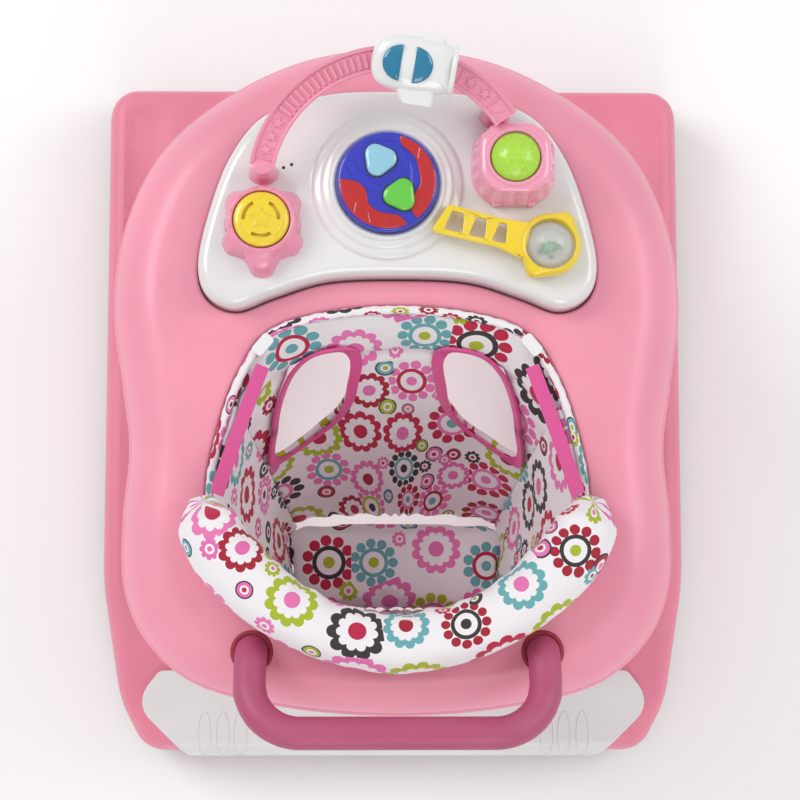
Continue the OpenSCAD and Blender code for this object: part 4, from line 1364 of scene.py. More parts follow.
@dataclass
class Base(SubAssembly):
    """Base ring with its rear bumper, stoppers and rails."""

    half_width: float = 311.0
    front: float = 360.5
    rear: float = 354.2
    wall: float = 3.0
    opening: tuple[float, float, float] = (424.0, 550.0, 32.0)
    profile: tuple[Point2, ...] = (
        (0, 30), (0, 42), (1.6, 60), (5, 78), (7.6, 86), (11.5, 92), (16.5, 95), (22, 96),
    )
    bumper_wall: float = 6.0
    seam: float = 0.3
    ridge_places: tuple[float, ...] = (-197, -178, -160, 160, 178, 197)
    ridge_size: tuple[float, float, float] = (13, 46, -334)

    def outline(self) -> np.ndarray:
        """Outer edge of the ring, evenly sampled."""
        w, r = self.half_width, self.rear
        return even(
            rounded(
                [(-w, self.front, 34), (-w, -r * 0.5, 300), (-w + 20, -r * 0.85, 120), (-w + 48, -r, 34),
                 (w - 48, -r, 34), (w - 20, -r * 0.85, 120), (w, -r * 0.5, 300), (w, self.front, 34)], 16),
            480)

    def body(self, grow: float, name: str) -> bpy.types.Object:
        """Closed body of the ring without its opening, grown on all sides.

        Args:
            grow: Growth on all sides in millimetres.
            name: Name of the object.

        Returns:
            The closed body.
        """
        shape, edge = Shape(), self.outline()
        rings = [(inset(edge, i - grow), z + (grow if z > 70 else 0)) for i, z in self.rings()]
        shape.loft(rings)
        return shape.build(name)

    def rings(self) -> np.ndarray:
        """Profile of the outer wall as inset and height."""
        return open_curve(self.profile, 4)

    def relief(self, x: float, y: float) -> float:
        """Height of the deck: sunk fields in the front corners and a soft trough at both sides.

        Args:
            x: Place across the walker.
            y: Place along the walker.

        Returns:
            The height to add in millimetres.
        """
        side = soft_step(abs(x), 232, 262) * (1 - soft_step(abs(x), 286, 300))
        sunk = side * soft_step(y, 60, 200) * (1 - soft_step(y, 318, 338))
        trough = side * (1 - soft_step(y, 0, 120)) * soft_step(y, -250, -180)
        return Z.base_top - 3.5 * sunk - 1.6 * trough

    def shell(self) -> None:
        """The moulded ring."""
        shape, edge = Shape(), self.outline()
        outer = shape.loft([(inset(edge, i), z) for i, z in self.rings()], start=False, end=False)
        hole = even(rectangle(*self.opening), 320)
        wall = [(inset(hole, -i), Z.base_top - d) for i, d in rounding(5)] + [(hole, 60), (hole, Z.skirt)]
        inner = shape.loft(wall, start=False, end=False)
        shape.plate(outer[-1], [inner[0]], 9, self.relief)
        obj = thicken(shape.build("base_ring"), self.wall)
        self.fit_piece(obj, "base", "base_plastic", Finishes.base, ["base_shell"])

    def bumper(self) -> None:
        """White skin over the rear slope, with raised ovals at both ends."""
        r = self.rear
        plan = rounded([(-244, -r + 86, 10), (-270, -r + 52, 26), (-196, -r - 20, 10), (196, -r - 20, 10),
                        (270, -r + 52, 26), (244, -r + 86, 10)], 6)
        cutter = Shape()
        cutter.loft([(plan, Z.skirt + 6), (plan, Z.base_top + 12)])
        skin = self.body(self.bumper_wall + self.seam, "bumper")
        combine(skin, self.body(self.seam, "bumper_inside"), Cut.REMOVE)
        combine(skin, cutter.build("bumper_plan"), Cut.KEEP_COMMON)
        soften(skin, 1.6, 50)
        ridges = self.ridges(skin)
        obj = merged("rear_bumper_skin", [skin, ridges])
        self.fit_piece(obj, "base", "bumper_plastic", Finishes.bumper, ["rear_bumper"])

    def ridges(self, skin: bpy.types.Object) -> bpy.types.Object:
        """Raised oval outlines that lie on the bumper's deck and slope.

        Args:
            skin: Deck that they lie on.

        Returns:
            The outlines as one object.
        """
        tree = BVHTree.FromObject(skin, bpy.context.evaluated_depsgraph_get())
        shape = Shape()
        wide, long, y = self.ridge_size
        for x in self.ridge_places:
            path = []
            for p in ellipse(wide, long, 40, (x, y)):
                hit = tree.ray_cast(Vector((p[0], p[1], 200)) * MM, Vector((0, 0, -1)))[0]
                if hit:
                    path.append(hit / MM - Vector((0, 0, 0.2)))
            if len(path) == 40:
                shape.tube(np.array(path), lambda t, i: ellipse(2.4, 2.0, 10), closed=True, carry=False)
        return shape.build("ridges")

    def make(self) -> None:
        """Builds the ring and dresses the nodes below it."""
        self.shell()
        self.bumper()
        self.dress_node("stopper_pads", Finishes.rubber)
        self.dress_node("base_rails", Finishes.rail)
        self.dress_node("base_screws", Finishes.steel)


@dataclass
class Casters(SubAssembly):
    """Six swivel casters."""

    count: int = 6

    def make(self) -> None:
        """Dresses forks, wheels and axles."""
        for i in range(1, self.count + 1):
            self.dress_node(f"caster_fork_{i}", Finishes.fork)
            self.dress_node(f"caster_wheel_{i}", Finishes.wheel)
            self.dress_node(f"caster_axle_{i}", Finishes.steel)


@dataclass
class FoldingFrame(SubAssembly):
    """Crossed tube frames and their pins."""

    tubes: tuple[str, ...] = ("outer_frame", "inner_frame")

    def make(self) -> None:
        """Dresses tubes and pins."""
        for name in self.tubes:
            self.dress_node(name, Finishes.paint)
            self.dress_node(name + "_pins", Finishes.steel)
        self.dress_node("cross_rivets", Finishes.steel)


@dataclass
class Tray(SubAssembly):
    """Upper tray with its seat opening and the pocket for the toy tray."""

    half: tuple[Point2, ...] = (
        (0, -303), (95, -296), (176, -276), (222, -238), (243, -190), (245, -130), (240, -66),
        (247, -8), (256, 64), (246, 138), (215, 204), (160, 254), (85, 291), (0, 303),
    )
    profile: tuple[Point2, ...] = (
        (5, 366), (3, 376), (0.6, 386), (0, 393), (0.6, 397), (3.2, 399.5), (3.4, 403),
        (6.5, 410), (13, 419), (21, 427), (30, 433), (38, 436.6), (46, 438),
    )
    wall: float = 2.6
    pocket_gap: float = 2.0
    stem_place: Point2 = (126.0, -239.0)
    creases: tuple[tuple[float, float, float], ...] = ((0.34, -34, 2.2), (-0.10, -62, 1.8))

    def relief(self, x: float, y: float) -> float:
        """Height of the deck, with two soft creases that fan out at each side of the seat.

        Args:
            x: Place across the walker.
            y: Place along the walker.

        Returns:
            The height to add in millimetres.
        """
        drop = 0.0
        for slope, start, depth in self.creases:
            off = y - (start - slope * (abs(x) - 170))
            shown = soft_step(abs(x), 172, 200)
            drop += depth * shown * (math.exp(-((off / 9) ** 2)) - 0.5 * math.exp(-(((off - 16) / 12) ** 2)))
        return Z.deck - drop

    def deck(self) -> None:
        """The tray itself."""
        shape = Shape()
        edge = even(smooth(both_sides(self.half, Z.tray_dy), 16), 420)
        rings = [(inset(edge, i), z) for i, z in open_curve(self.profile, 2)]
        outer = shape.loft(rings, start=False, end=False)
        hole = even(smooth(SEAT_HOLE, 14), 260)
        seat = shape.loft(
            [(inset(hole, -i), Z.deck - d) for i, d in rounding(4)]
            + [(hole, Z.deck - 14), (hole, Z.deck - 30)],
            start=False, end=False)
        pocket = even(inset(smooth(TOY_EDGE, 14), -self.pocket_gap), 260)
        walls = shape.loft(
            [(inset(pocket, -i), Z.deck - d) for i, d in rounding(3)] + [(pocket, Z.pocket)],
            start=False, end=True)
        shape.plate(outer[-1], [seat[0], walls[0]], 7, self.relief)
        obj = thicken(shape.build("tray_deck"), self.wall)
        self.fit_piece(obj, "tray", "tray_plastic", Finishes.tray, ["upper_tray"])

    def socket_shade_rings(self) -> None:
        """Dark red rings round the handle's sockets: painted shade of the gap where the handle goes in."""
        shape = Shape()
        for s in (-1, 1):
            shape.lathe([(14.2, -1), (14.2, 0.5), (15.2, 1.1), (17.6, 0.9), (18.6, 0.1), (18.6, -1)],
                        (s * self.stem_place[0], self.stem_place[1], Z.deck))
        self.fit_piece(shape.build("handle_socket_shade_rings"), "tray", "tray_plastic", Finishes.collar)

    def make(self) -> None:
        """Builds the tray and dresses what hangs below it."""
        self.deck()
        self.socket_shade_rings()
        self.dress_node("tray_rails", Finishes.rail)
        self.dress_node("height_latch", Finishes.latch)


@dataclass
class PushHandle(SubAssembly):
    """Push handle at the rear."""

    radius: float = 14.0
    half_width: float = 126.0
    reach: float = 60.0
    corner: float = 44.0
    elbow: float = 20.0
    tilt: float = 24.0
    stem_y: float = -239.0
    stem_foot: float = 409.0
    elbow_z: float = 440.0
    seam_drop: float = 4.0
    seam_width: float = 0.09
    seam_depth: float = 0.55

    def half_path(self) -> list[Vector]:
        """Centre line from the right socket to the middle of the bar.

        Returns:
            Points of the centre line.
        """
        turn, tilt = math.radians(90 - self.tilt), math.radians(self.tilt)
        x, y, z = self.half_width, self.stem_y, self.elbow_z
        path = [Vector((x, y, h)) for h in np.linspace(self.stem_foot, z, 8)]
        centre = y - self.elbow
        path += [Vector((x, centre + self.elbow * math.cos(a), z + self.elbow * math.sin(a)))
                 for a in np.linspace(0, turn, 14)[1:]]
        origin = path[-1].copy()
        origin.x = 0
        flat = [(x, -d) for d in np.linspace(0, self.reach - self.corner, 5)[1:]]
        flat += [
            (x - self.corner + self.corner * math.cos(a), -(self.reach - self.corner) - self.corner * math.sin(a))
            for a in np.linspace(0, math.pi / 2, 16)[1:]
        ]
        flat += [(q, -self.reach) for q in np.linspace(x - self.corner, 0, 16)[1:]]
        path += [origin + Vector((fx, fy * math.cos(tilt), -fy * math.sin(tilt))) for fx, fy in flat]
        return path

    def section(self, share: float, step: int) -> np.ndarray:
        """Round section with a groove on both sides where the halves meet.

        Args:
            share: Share of the way along the handle.
            step: Number of the section.

        Returns:
            The section's points.
        """
        t = np.linspace(0, 2 * math.pi, 72, endpoint=False)
        seam = math.asin(self.seam_drop / self.radius)
        r = np.full(len(t), self.radius)
        for at in (2 * math.pi - seam, math.pi + seam):
            r = r - self.seam_depth * np.exp(-(((t - at) / self.seam_width) ** 2))
        off = abs(abs(share - 0.5) * 2 - 0.52)
        r = r + 0.5 * math.exp(-((off / 0.012) ** 2))
        return np.stack([r * np.cos(t), r * np.sin(t)], 1)

    def make(self) -> None:
        """Sweeps the handle from socket to socket."""
        right = self.half_path()
        left = [Vector((-p.x, p.y, p.z)) for p in right[-2::-1]]
        shape = Shape()
        shape.tube(np.array(right + left), self.section, up=(0, 1, 0))
        self.fit_piece(shape.build("handle_tube"), "tray", "handle_plastic", Finishes.handle,
                       ["handle_stems", "handle_upper", "handle_lower"])


@dataclass
class ToyTray(SubAssembly):
    """White toy tray with its raised rings, cover and electronics."""

    foot: float = 429.1
    edge_round: float = 11.0
    disc: Point2 = (-9.0, 166.0)
    rings: tuple[Point2, ...] = (
        (68, 0), (66.5, 0.4), (65, 2.6), (63.4, 4), (59.5, 4.4), (58, 5.2), (56.6, 7.2), (55, 8),
        (52, 8.4), (50.8, 9.4), (49.6, 11.4), (48.2, 12), (46.6, 11.6), (45.2, 10), (45, 6), (0, 6),
    )
    hole_places: tuple[Point2, ...] = ((-100, 182), (-93, 184.8))

    def shell(self) -> None:
        """Glossy shell with the stepped rings."""
        shape = Shape()
        edge = even(smooth(TOY_EDGE, 14), 320)
        rings = [(edge, self.foot)] + [(inset(edge, i), Z.toy - d) for i, d in rounding(self.edge_round, 8)[::-1]]
        outer = shape.loft(rings, start=True, end=False)
        shape.plate(outer[-1], [], 8)
        shape.lathe(self.rings, (*self.disc, Z.toy), 96)
        self.fit_piece(shape.build("toy_tray_shell"), "toy_tray", "toy_white", Finishes.white, ["toy_tray"])

    def sound_holes(self) -> None:
        """Two small dark discs over the speaker: painted shade where its sound holes are."""
        shape = Shape()
        # Each disc is painted shade of a sound hole, laid on the surface instead of a cut hole.
        for x, y in self.hole_places:
            shape.lathe([(0, 0.3), (1.2, 0.3), (1.5, 0)], (x, y, Z.toy), 20)
        self.fit_piece(shape.build("sound_holes"), "toy_tray", "speaker_black", Finishes.dark)

    def make(self) -> None:
        """Builds the shell and dresses what it holds."""
        self.shell()
        self.sound_holes()
        self.dress_node("toy_tray_base", Finishes.cover)
        self.dress_node("battery_door", Finishes.cover)
        self.dress_node("batteries", Finishes.can)
        self.dress_node("circuit_board", Finishes.board)
        self.dress_node("speaker", Finishes.speaker)


@dataclass
class SteeringDisc(SubAssembly):
    """Blue disc with two red lenses and two rocking buttons."""

    centre: Point2 = (-9.0, 166.0)
    radius: float = 44.0
    foot: float = 7.0
    top: float = 19.5
    lens_radius: float = 41.6
    right_edge: tuple[Point2, ...] = (
        (10, 39), (13, 31), (23, 22), (27, 10), (28, -3), (21, -14), (20, -24), (25, -33),
    )
    left_edge: tuple[Point2, ...] = (
        (17, -37), (9, -30), (-7, -27), (-16, -20), (-19, -8), (-26, -1), (-40, 2),
    )
    right_span: Point2 = (-52, 74)
    left_span: Point2 = (178, 293)
    button_radius: float = 14.6
    swooshes: tuple[tuple[Point2, ...], ...] = (
        ((-36, 12), (-28, 1), (-16, -8), (-2, -15), (4, -26)),
        ((-30, 20), (-22, 6), (-8, -2), (4, -4)),
        ((14, 30), (20, 16), (21, 2), (20, -18)),
        ((-20, 34), (-6, 38), (8, 34)),
    )
    mark_turns: tuple[float, ...] = (-30, -6, 18, 42, 196, 220, 244, 268)

    def lens(self, inner: Sequence[Point2], start: float, end: float) -> np.ndarray:
        """Outline between an arc near the rim and an inner edge.

        Args:
            inner: Inner edge of the lens.
            start: First angle in degrees.
            end: Last angle in degrees.

        Returns:
            The closed outline.
        """
        a = np.radians(np.linspace(start, end, 30))
        rim = np.stack([self.lens_radius * np.cos(a), self.lens_radius * np.sin(a)], 1)
        return even(np.vstack([rim, open_curve(inner, 8)]), 90)

    def disc(self) -> None:
        """The blue disc with swooshes across it."""
        shape = Shape()
        r, t = self.radius, self.top
        shape.lathe([(0, self.foot), (r - 1, self.foot), (r, self.foot + 1), (r, t - 2.6), (r - 0.7, t - 1),
                     (r - 2, t - 0.2), (r - 3.4, t), (0, t)], (*self.centre, Z.toy), 96)
        for line in self.swooshes:
            path = [
                Vector((self.centre[0] + x, self.centre[1] + y, Z.toy + t)) for x, y in open_curve(line, 8)
            ]
            shape.tube(
                np.array(path),
                lambda s, i: ellipse(2.6 * math.sin(math.pi * min(max(s, 0.03), 0.97)) + 0.2, 1.7, 12),
            )
        disc = shape.build("steering_disc")
        self.fit_piece(disc, "steering", "wheel_blue", Finishes.blue, ["steering_wheel"])

    def lenses(self) -> None:
        """Red crescents with a pattern of straight lines on top."""
        shape = Shape()
        for inner, span in ((self.right_edge, self.right_span), (self.left_edge, self.left_span)):
            out = turned(self.lens(inner, *span), 0, self.centre)
            rounded_prism(shape, out, Z.toy + self.top - 2, Z.toy + self.top + 1.6, 1.2, 3)
        for a0 in self.mark_turns:
            a = math.radians(a0)
            for turn in (-38, 38):
                mid = Vector((36.5 * math.cos(a), 36.5 * math.sin(a), 0))
                way = Vector((math.cos(a + math.radians(turn)), math.sin(a + math.radians(turn)), 0))
                ends = [mid + way * d for d in (-4.6, 0, 4.6)]
                path = np.array([p + Vector((*self.centre, Z.toy + self.top + 1.6)) for p in ends])
                shape.tube(path, lambda s, i: ellipse(1.0, 0.9, 8))
        self.fit_piece(shape.build("red_lenses"), "steering", "lens_red", Finishes.red, ["wheel_lenses"])

    def triangle(self, r: float, turn: float) -> np.ndarray:
        """Rounded triangle round the origin."""
        corners = [(r * 1.62 * math.cos(math.radians(turn + 120 * i)),
                    r * 1.62 * math.sin(math.radians(turn + 120 * i)), r * 0.6) for i in range(3)]
        return even(rounded(corners, 8), 60)

    def button(self, name: str, at: Point2, turn: float, slot: str, finish: Finish) -> None:
        """One button, crowned, with a dark ring round it in the disc: painted shade of the gap between button and
        disc.

        Args:
            name: Name of the piece.
            at: Place in the disc.
            turn: Turn in degrees.
            slot: Material slot.
            finish: Finish that it gets.
        """
        shape = Shape()
        place = (self.centre[0] + at[0], self.centre[1] + at[1])
        out = turned(self.triangle(self.button_radius, turn), 0, place)
        low = Z.toy + self.top - 1
        rings = [(out, low), (out, low + 4.4)]
        rings += [(place + (out - place) * k, low + 4.4 + h) for k, h in
                  ((0.985, 0.5), (0.95, 1.0), (0.88, 1.5), (0.7, 2.1), (0.4, 2.5), (0.1, 2.6))]
        shape.loft(rings)
        self.fit_piece(shape.build(name + "_cap"), name, slot, finish, [name])
        # Dark ring round the button: painted shade of the gap, not a part of its own.
        gap = Shape()
        wide = turned(self.triangle(self.button_radius + 1.3, turn), 0, place)
        gap.loft([(wide, Z.toy + self.top - 0.5), (wide, Z.toy + self.top + 0.12)])
        self.fit_piece(gap.build(name + "_gap"), "steering", "wheel_blue", Finishes.dark)

    def make(self) -> None:
        """Builds the disc and its inserts."""
        self.disc()
        self.lenses()
        self.button("blue_button", (-7, 18.5), 8, "button_blue", Finishes.sky)
        self.button("green_button", (11.0, -12.5), 186, "button_green", Finishes.leaf)


@dataclass
class SlideArch(SubAssembly):
    """Leaning arch with a toy plane that slides on it."""

    centre: tuple[float, float, float] = (-4.0, 154.0, 483.0)
    radius: float = 116.0
    lean: float = 18.0
    start: float = 34.0
    end: float = 168.0
    width: float = 22.0
    depth: float = 7.0
    rib_turns: tuple[float, float, float] = (99, 143, 2.9)
    star_turns: tuple[float, ...] = (148.4, 154.6, 160.8, 48, 55.5)
    bar_turns: tuple[float, ...] = (144.6, 164.6, 43, 60.5)
    right_foot: tuple[float, float, float] = (85, 227, 504)
    left_foot: Point2 = (176, 490)
    plane_turn: float = 81.0
    plane_shift: float = -4.0
    plane_half: tuple[Point2, ...] = (
        (-37, 0), (-35.5, -11), (-29, -19.5), (-14, -24), (4, -24.5), (22, -22.5), (33, -19), (36, -17),
    )
    window_foot: float = 17.9

    def place(self) -> Matrix:
        """Frame of the arch's own plane."""
        return Matrix.Translation(self.centre) @ Matrix.Rotation(math.radians(self.lean), 4, "X")

    def at_plane(self) -> Matrix:
        """Frame of the plane: x along the track, y outwards."""
        return (self.place() @ Matrix.Rotation(math.radians(self.plane_turn), 4, "Z")
                @ Matrix.Translation((self.radius, 0, 0)) @ Matrix.Rotation(-math.pi / 2, 4, "Z"))

    def arc(self, a: float, b: float, count: int) -> np.ndarray:
        """Points of the track's centre line between two angles."""
        t = np.radians(np.linspace(a, b, count))
        return np.stack([self.radius * np.cos(t), self.radius * np.sin(t), 0 * t], 1)

    def on_track(self, outline: np.ndarray, degrees: float) -> np.ndarray:
        """An outline (along, outwards) set down on the track at an angle."""
        return turned(turned(outline, -90) + (self.radius, 0), degrees)

    def track(self) -> None:
        """Track with raised edges, ribs and star panels, and its two feet."""
        w, h = self.width / 2, self.depth / 2
        edge = np.array([
            (-w + 0.8, -h), (w - 0.8, -h), (w, -h + 0.8), (w, h - 0.8), (w - 0.8, h), (w - 2.4, h),
            (w - 3.2, h - 0.6), (w - 3.8, h - 2), (-w + 3.8, h - 2), (-w + 3.2, h - 0.6),
            (-w + 2.4, h), (-w + 0.8, h), (-w, h - 0.8), (-w, -h + 0.8),
        ])
        shape = Shape()
        shape.tube(self.arc(self.start, self.end, 120), lambda s, i: edge)
        floor = h - 2
        for a in np.arange(*self.rib_turns):
            rounded_prism(shape, self.on_track(rectangle(3.0, 13, 1.4, 4), a), floor - 1, floor + 2.2, 0.9)
        for a in self.star_turns:
            rounded_prism(shape, self.on_track(star(5.4, 2.5), a), floor - 1, floor + 1.5, 0.3)
        for a in self.bar_turns:
            rounded_prism(shape, self.on_track(rectangle(1.3, 12, 0.6, 4), a), floor - 1, floor + 1.2, 0.3)
        arch = shape.build("arch_track", self.place())
        feet = Shape()
        left_x = self.centre[0] + self.radius * math.cos(math.radians(self.end))
        for x, y, top in ((left_x, *self.left_foot), self.right_foot):
            rings = [
                (ellipse(20 + 7 * k * k, 13 + 7 * k * k, 48, (x, y)), top + 3 - (top - Z.toy + 4) * k)
                for k in np.linspace(0, 1, 9)
            ]
            feet.loft([(ellipse(15, 9, 48, (x, y)), top + 4.2), *rings][::-1])
        obj = merged("slide_arch_track", [arch, feet.build("arch_feet")])
        self.fit_piece(obj, "toy_tray", "arch_pink", Finishes.toy_pink, ["slide_arch"])

    def plane(self) -> None:
        """White plane: body, tail ring, fin and wing."""
        half = list(self.plane_half)
        out = even(smooth(half + [(x, -y) for x, y in half[:0:-1]], 12), 120) + (0, self.plane_shift)
        shape = Shape()
        low, high = -self.depth / 2 - 6, self.depth / 2 + 15
        rings = []
        for k in range(19):
            t = -1 + 2 * k / 18
            size = max(0.02, 1 - abs(t) ** (3.4 if t < 0 else 2.6)) ** (1 / (3.4 if t < 0 else 2.6))
            rings.append((out * size, low + (high - low) * (t + 1) / 2))
        shape.loft(rings)
        tail = [
            Vector((33, 19.5 * math.cos(a) + self.plane_shift, 4.5 + 12 * math.sin(a)))
            for a in np.linspace(0, 2 * math.pi, 40, endpoint=False)
        ]
        shape.tube(np.array(tail), lambda s, i: ellipse(5.6, 4.4, 16), up=(1, 0, 0), closed=True)
        for sign, root, tip in ((1, (10, 12), (15, 25)), (-1, (2, 20), (7, 37))):
            rings = []
            for s in np.linspace(0, 1, 7):
                mid = np.array(root) * (1 - s) + np.array(tip) * s
                long, thick = (24 if sign > 0 else 34) - 8 * s**2, 11 - 3.5 * s
                section = rectangle(long, thick, thick * 0.45, 5)
                rings.append([(mid[0] + p[0], sign * mid[1], 8 + p[1]) for p in section])
            loops = [shape.ring(r) for r in rings]
            for a, b in zip(loops, loops[1:]):
                shape.bridge(a, b)
            shape.cap(loops[0][::-1])
            shape.cap(loops[-1])
        body = shape.build("plane_shell", self.at_plane())
        self.fit_piece(body, "plane", "plane_white", Finishes.plane, ["plane_body"], 50)

    def windows(self) -> None:
        """Two blue windows, each a half oval."""
        shape = Shape()
        for side in (-1, 1):
            oval = [
                (side * (2.0 + 19.5 * math.sin(a) ** 0.8), 15.4 * math.cos(a))
                for a in np.linspace(0.12, math.pi - 0.12, 24)
            ]
            if side > 0:
                oval = oval[::-1]
            out = even(np.array(oval) + (-6, self.plane_shift), 60)
            rings = [(out, 12), (out, self.window_foot)]
            middle = out.mean(0)
            rings += [
                (middle + (out - middle) * k, self.window_foot + h)
                for k, h in ((0.97, 0.7), (0.9, 1.3), (0.6, 2.2), (0.1, 2.6))
            ]
            shape.loft(rings)
        self.fit_piece(shape.build("plane_windows_blue", self.at_plane()), "plane", "window_blue", Finishes.window,
                       ["plane_windows"])

    def make(self) -> None:
        """Builds arch and plane."""
        self.track()
        self.plane()
        self.windows()


@dataclass
class Spinner(SubAssembly):
    """Yellow spinner in a pink housing with ball-shaped lobes."""

    centre: Point2 = (-118.0, 132.0)
    radius: float = 24.0
    height: float = 21.0
    lobe_turns: tuple[float, ...] = (38, 142, 214, 270, 326)
    front_turn: float = 270
    notch_turns: tuple[float, ...] = (10, 66, 114, 170, 196, 242, 298, 344)
    skirt: tuple[tuple[float, float, float], ...] = (
        (9.5, 0, 1.0), (9.0, 2, 1.0), (7.8, 5, 0.95), (7.2, 12, 0.85), (6.6, 15, 0.66), (6.2, 17, 0.36),
        (5.6, 19, 0.1), (4.4, 20.6, 0), (3, 21, 0), (1.6, 20.4, 0), (1, 19, 0), (1, 16, 0),
    )
    slot_turns: tuple[float, ...] = (30, 150, 270)
    rib_turns: tuple[float, ...] = (90, 210, 330)

    def housing(self) -> None:
        """Cup with lobes round it and a foot in front."""
        shape, r, h = Shape(), self.radius, self.height
        steps = np.linspace(0, 2 * math.pi, 144, endpoint=False)
        degrees = np.degrees(steps)
        lobes = sum(
            (9.5 if turn == self.front_turn else 5.5)
            * np.exp(-(apart(degrees, turn) / (16 if turn == self.front_turn else 15)) ** 4)
            for turn in self.lobe_turns
        )
        lobes += 5.0 * np.exp(-(apart(degrees, self.front_turn) / 50) ** 2)
        notches = sum(1.6 * np.exp(-(apart(degrees, turn) / 3.2) ** 2) for turn in self.notch_turns)
        rings = []
        for out, z, share in self.skirt:
            far = r + out + lobes * share - notches * min(1.0, share * 1.2)
            rings.append((np.stack([far * np.cos(steps), far * np.sin(steps)], 1) + self.centre, Z.toy + z))
        shape.loft(rings, start=False)
        for a0 in range(0, 360, 30):
            a = math.radians(a0 + 12)
            at = (self.centre[0] + (r + 4) * math.cos(a), self.centre[1] + (r + 4) * math.sin(a))
            spot = turned(rectangle(2.2, 3.4, 0.9, 4), a0 + 12, at)
            rounded_prism(shape, spot, Z.toy + h - 3, Z.toy + h + 0.7, 0.4)
        cup = shape.build("spinner_cup")
        self.fit_piece(cup, "toy_tray", "arch_pink", Finishes.toy_pink, ["spinner_housing"])

    def disc(self) -> None:
        """Disc with three arc slots and a raised star."""
        shape, r, z = Shape(), self.radius, self.height - 4
        profile = [
            (0, z), (r - 0.6, z), (r, z + 0.8), (r, z + 3.4), (r - 0.6, z + 5), (r - 2.2, z + 6),
            (r - 5, z + 6.6), (r * 0.5, z + 7.6), (0, z + 8),
        ]
        shape.lathe(profile, (*self.centre, Z.toy), 96)
        body = shape.build("disc")
        cutter = Shape()
        for mid in self.slot_turns:
            t = np.radians(np.linspace(mid - 33, mid + 33, 20))
            out, back = np.stack([np.cos(t), np.sin(t)], 1), np.stack([np.cos(t[::-1]), np.sin(t[::-1])], 1)
            arc = np.vstack([16.8 * out, 13.6 * back])
            cutter.loft([(arc + self.centre, Z.toy + z + 3), (arc + self.centre, Z.toy + z + 14)])
        combine(body, cutter.build("slots"), Cut.REMOVE)
        raised = Shape()
        path = even(star(9.6, 4.4), 60) + self.centre
        points = [Vector((x, y, Z.toy + z + 7.75)) for x, y in path]
        raised.tube(np.array(points), lambda s, i: ellipse(1.2, 1.4, 8), closed=True, carry=False)
        cx, cy = self.centre
        for mid in self.rib_turns:
            t = np.radians(np.linspace(mid - 24, mid + 24, 14))
            path = [
                Vector((cx + 18.6 * math.cos(a), cy + 18.6 * math.sin(a), Z.toy + z + 6.7)) for a in t
            ]
            raised.tube(np.array(path), lambda s, i: ellipse(1.6, 1.2, 8))
        obj = merged("spinner_top", [body, raised.build("star")])
        self.fit_piece(obj, "spinner", "toy_yellow", Finishes.yellow, ["spinner_disc"])

    def make(self) -> None:
        """Builds cup and disc."""
        self.housing()
        self.disc()


@dataclass
class LightBox(SubAssembly):
    """Pink light box with a green dome button."""

    centre: Point2 = (101.0, 184.0)
    width: float = 63.0
    height: float = 36.0
    dome: float = 21.0
    rise: float = 11.0
    drop: float = 9.0
    ribs: int = 18
    bump_rows: tuple[tuple[int, float], ...] = ((1, 0.0), (6, 6.5), (11, 12.5), (16, 17.5))

    def box(self) -> None:
        """Box with a flared foot, upright ribs and a collar round the dome."""
        shape, h = Shape(), self.height
        square = even(rectangle(self.width, self.width, 23, 16), 144)
        profile = open_curve([(-5, 0), (-5, 5), (-2.5, 12), (0, 24), (0.6, h - 5), (2.6, h - 1.6), (6.5, h)], 3)
        rings = []
        for i, z in profile:
            rib = 1.5 * soft_step(z, 4, 12) * (1 - soft_step(z, h - 8, h - 3))
            base = inset(square, i)
            wave = np.cos(np.arange(len(base)) * 2 * math.pi * self.ribs / len(base))[:, None]
            middle = np.zeros(2)
            rings.append(((base - middle) * (1 + wave * rib / self.width * 2) + self.centre, Z.toy + z))
        outer = shape.loft(rings, start=True, end=False)
        hole = ellipse(2 * (self.dome + 1.2), 2 * (self.dome + 1.2), 96, self.centre)
        socket = [(hole, Z.toy + h), (inset(hole, 0.5), Z.toy + h - 0.8), (inset(hole, 0.6), Z.toy + h - 15)]
        inner = shape.loft(socket, start=False, end=True)
        shape.plate(outer[-1], [inner[0]], 3)
        collar = [
            (self.dome + out, h + up)
            for out, up in ((1.4, -0.5), (1.6, 1.0), (2.8, 1.4), (4.4, 0.9), (5.2, -0.5))
        ]
        shape.lathe(collar, (*self.centre, Z.toy), 96)
        for side in (-1, 1):
            spot = rectangle(7, 5, 1.5) + (self.centre[0] + side * 15, self.centre[1] - self.width / 2 - 3)
            rounded_prism(shape, spot, Z.toy, Z.toy + 9, 1.2)
        self.fit_piece(shape.build("light_box_shell"), "toy_tray", "light_pink", Finishes.box_pink, ["light_box"])

    def button(self) -> None:
        """Dome with rows of small bumps."""
        shape, r = Shape(), self.dome
        z0 = self.height - self.drop
        ball = (r * r + self.rise * self.rise) / (2 * self.rise)
        top = [(d, z0 + 9 + math.sqrt(ball * ball - d * d) - ball + self.rise) for d in np.linspace(0, r - 0.3, 18)]
        shape.lathe([*top, (r, z0 + 8.6), (r, z0)], (*self.centre, Z.toy), 96)
        for count, away in self.bump_rows:
            for i in range(count):
                a = 2 * math.pi * i / count
                z = z0 + 9 + math.sqrt(ball * ball - away * away) - ball + self.rise
                cap = [(1.5 * math.sin(t), 0.9 * math.cos(t)) for t in np.linspace(0, math.pi / 2, 7)]
                spot = (self.centre[0] + away * math.cos(a), self.centre[1] + away * math.sin(a), Z.toy + z)
                shape.lathe(cap, spot, 14)
        self.fit_piece(shape.build("dome_cap"), "dome", "dome_green", Finishes.lime, ["dome_button"])

    def make(self) -> None:
        """Builds box and dome."""
        self.box()
        self.button()


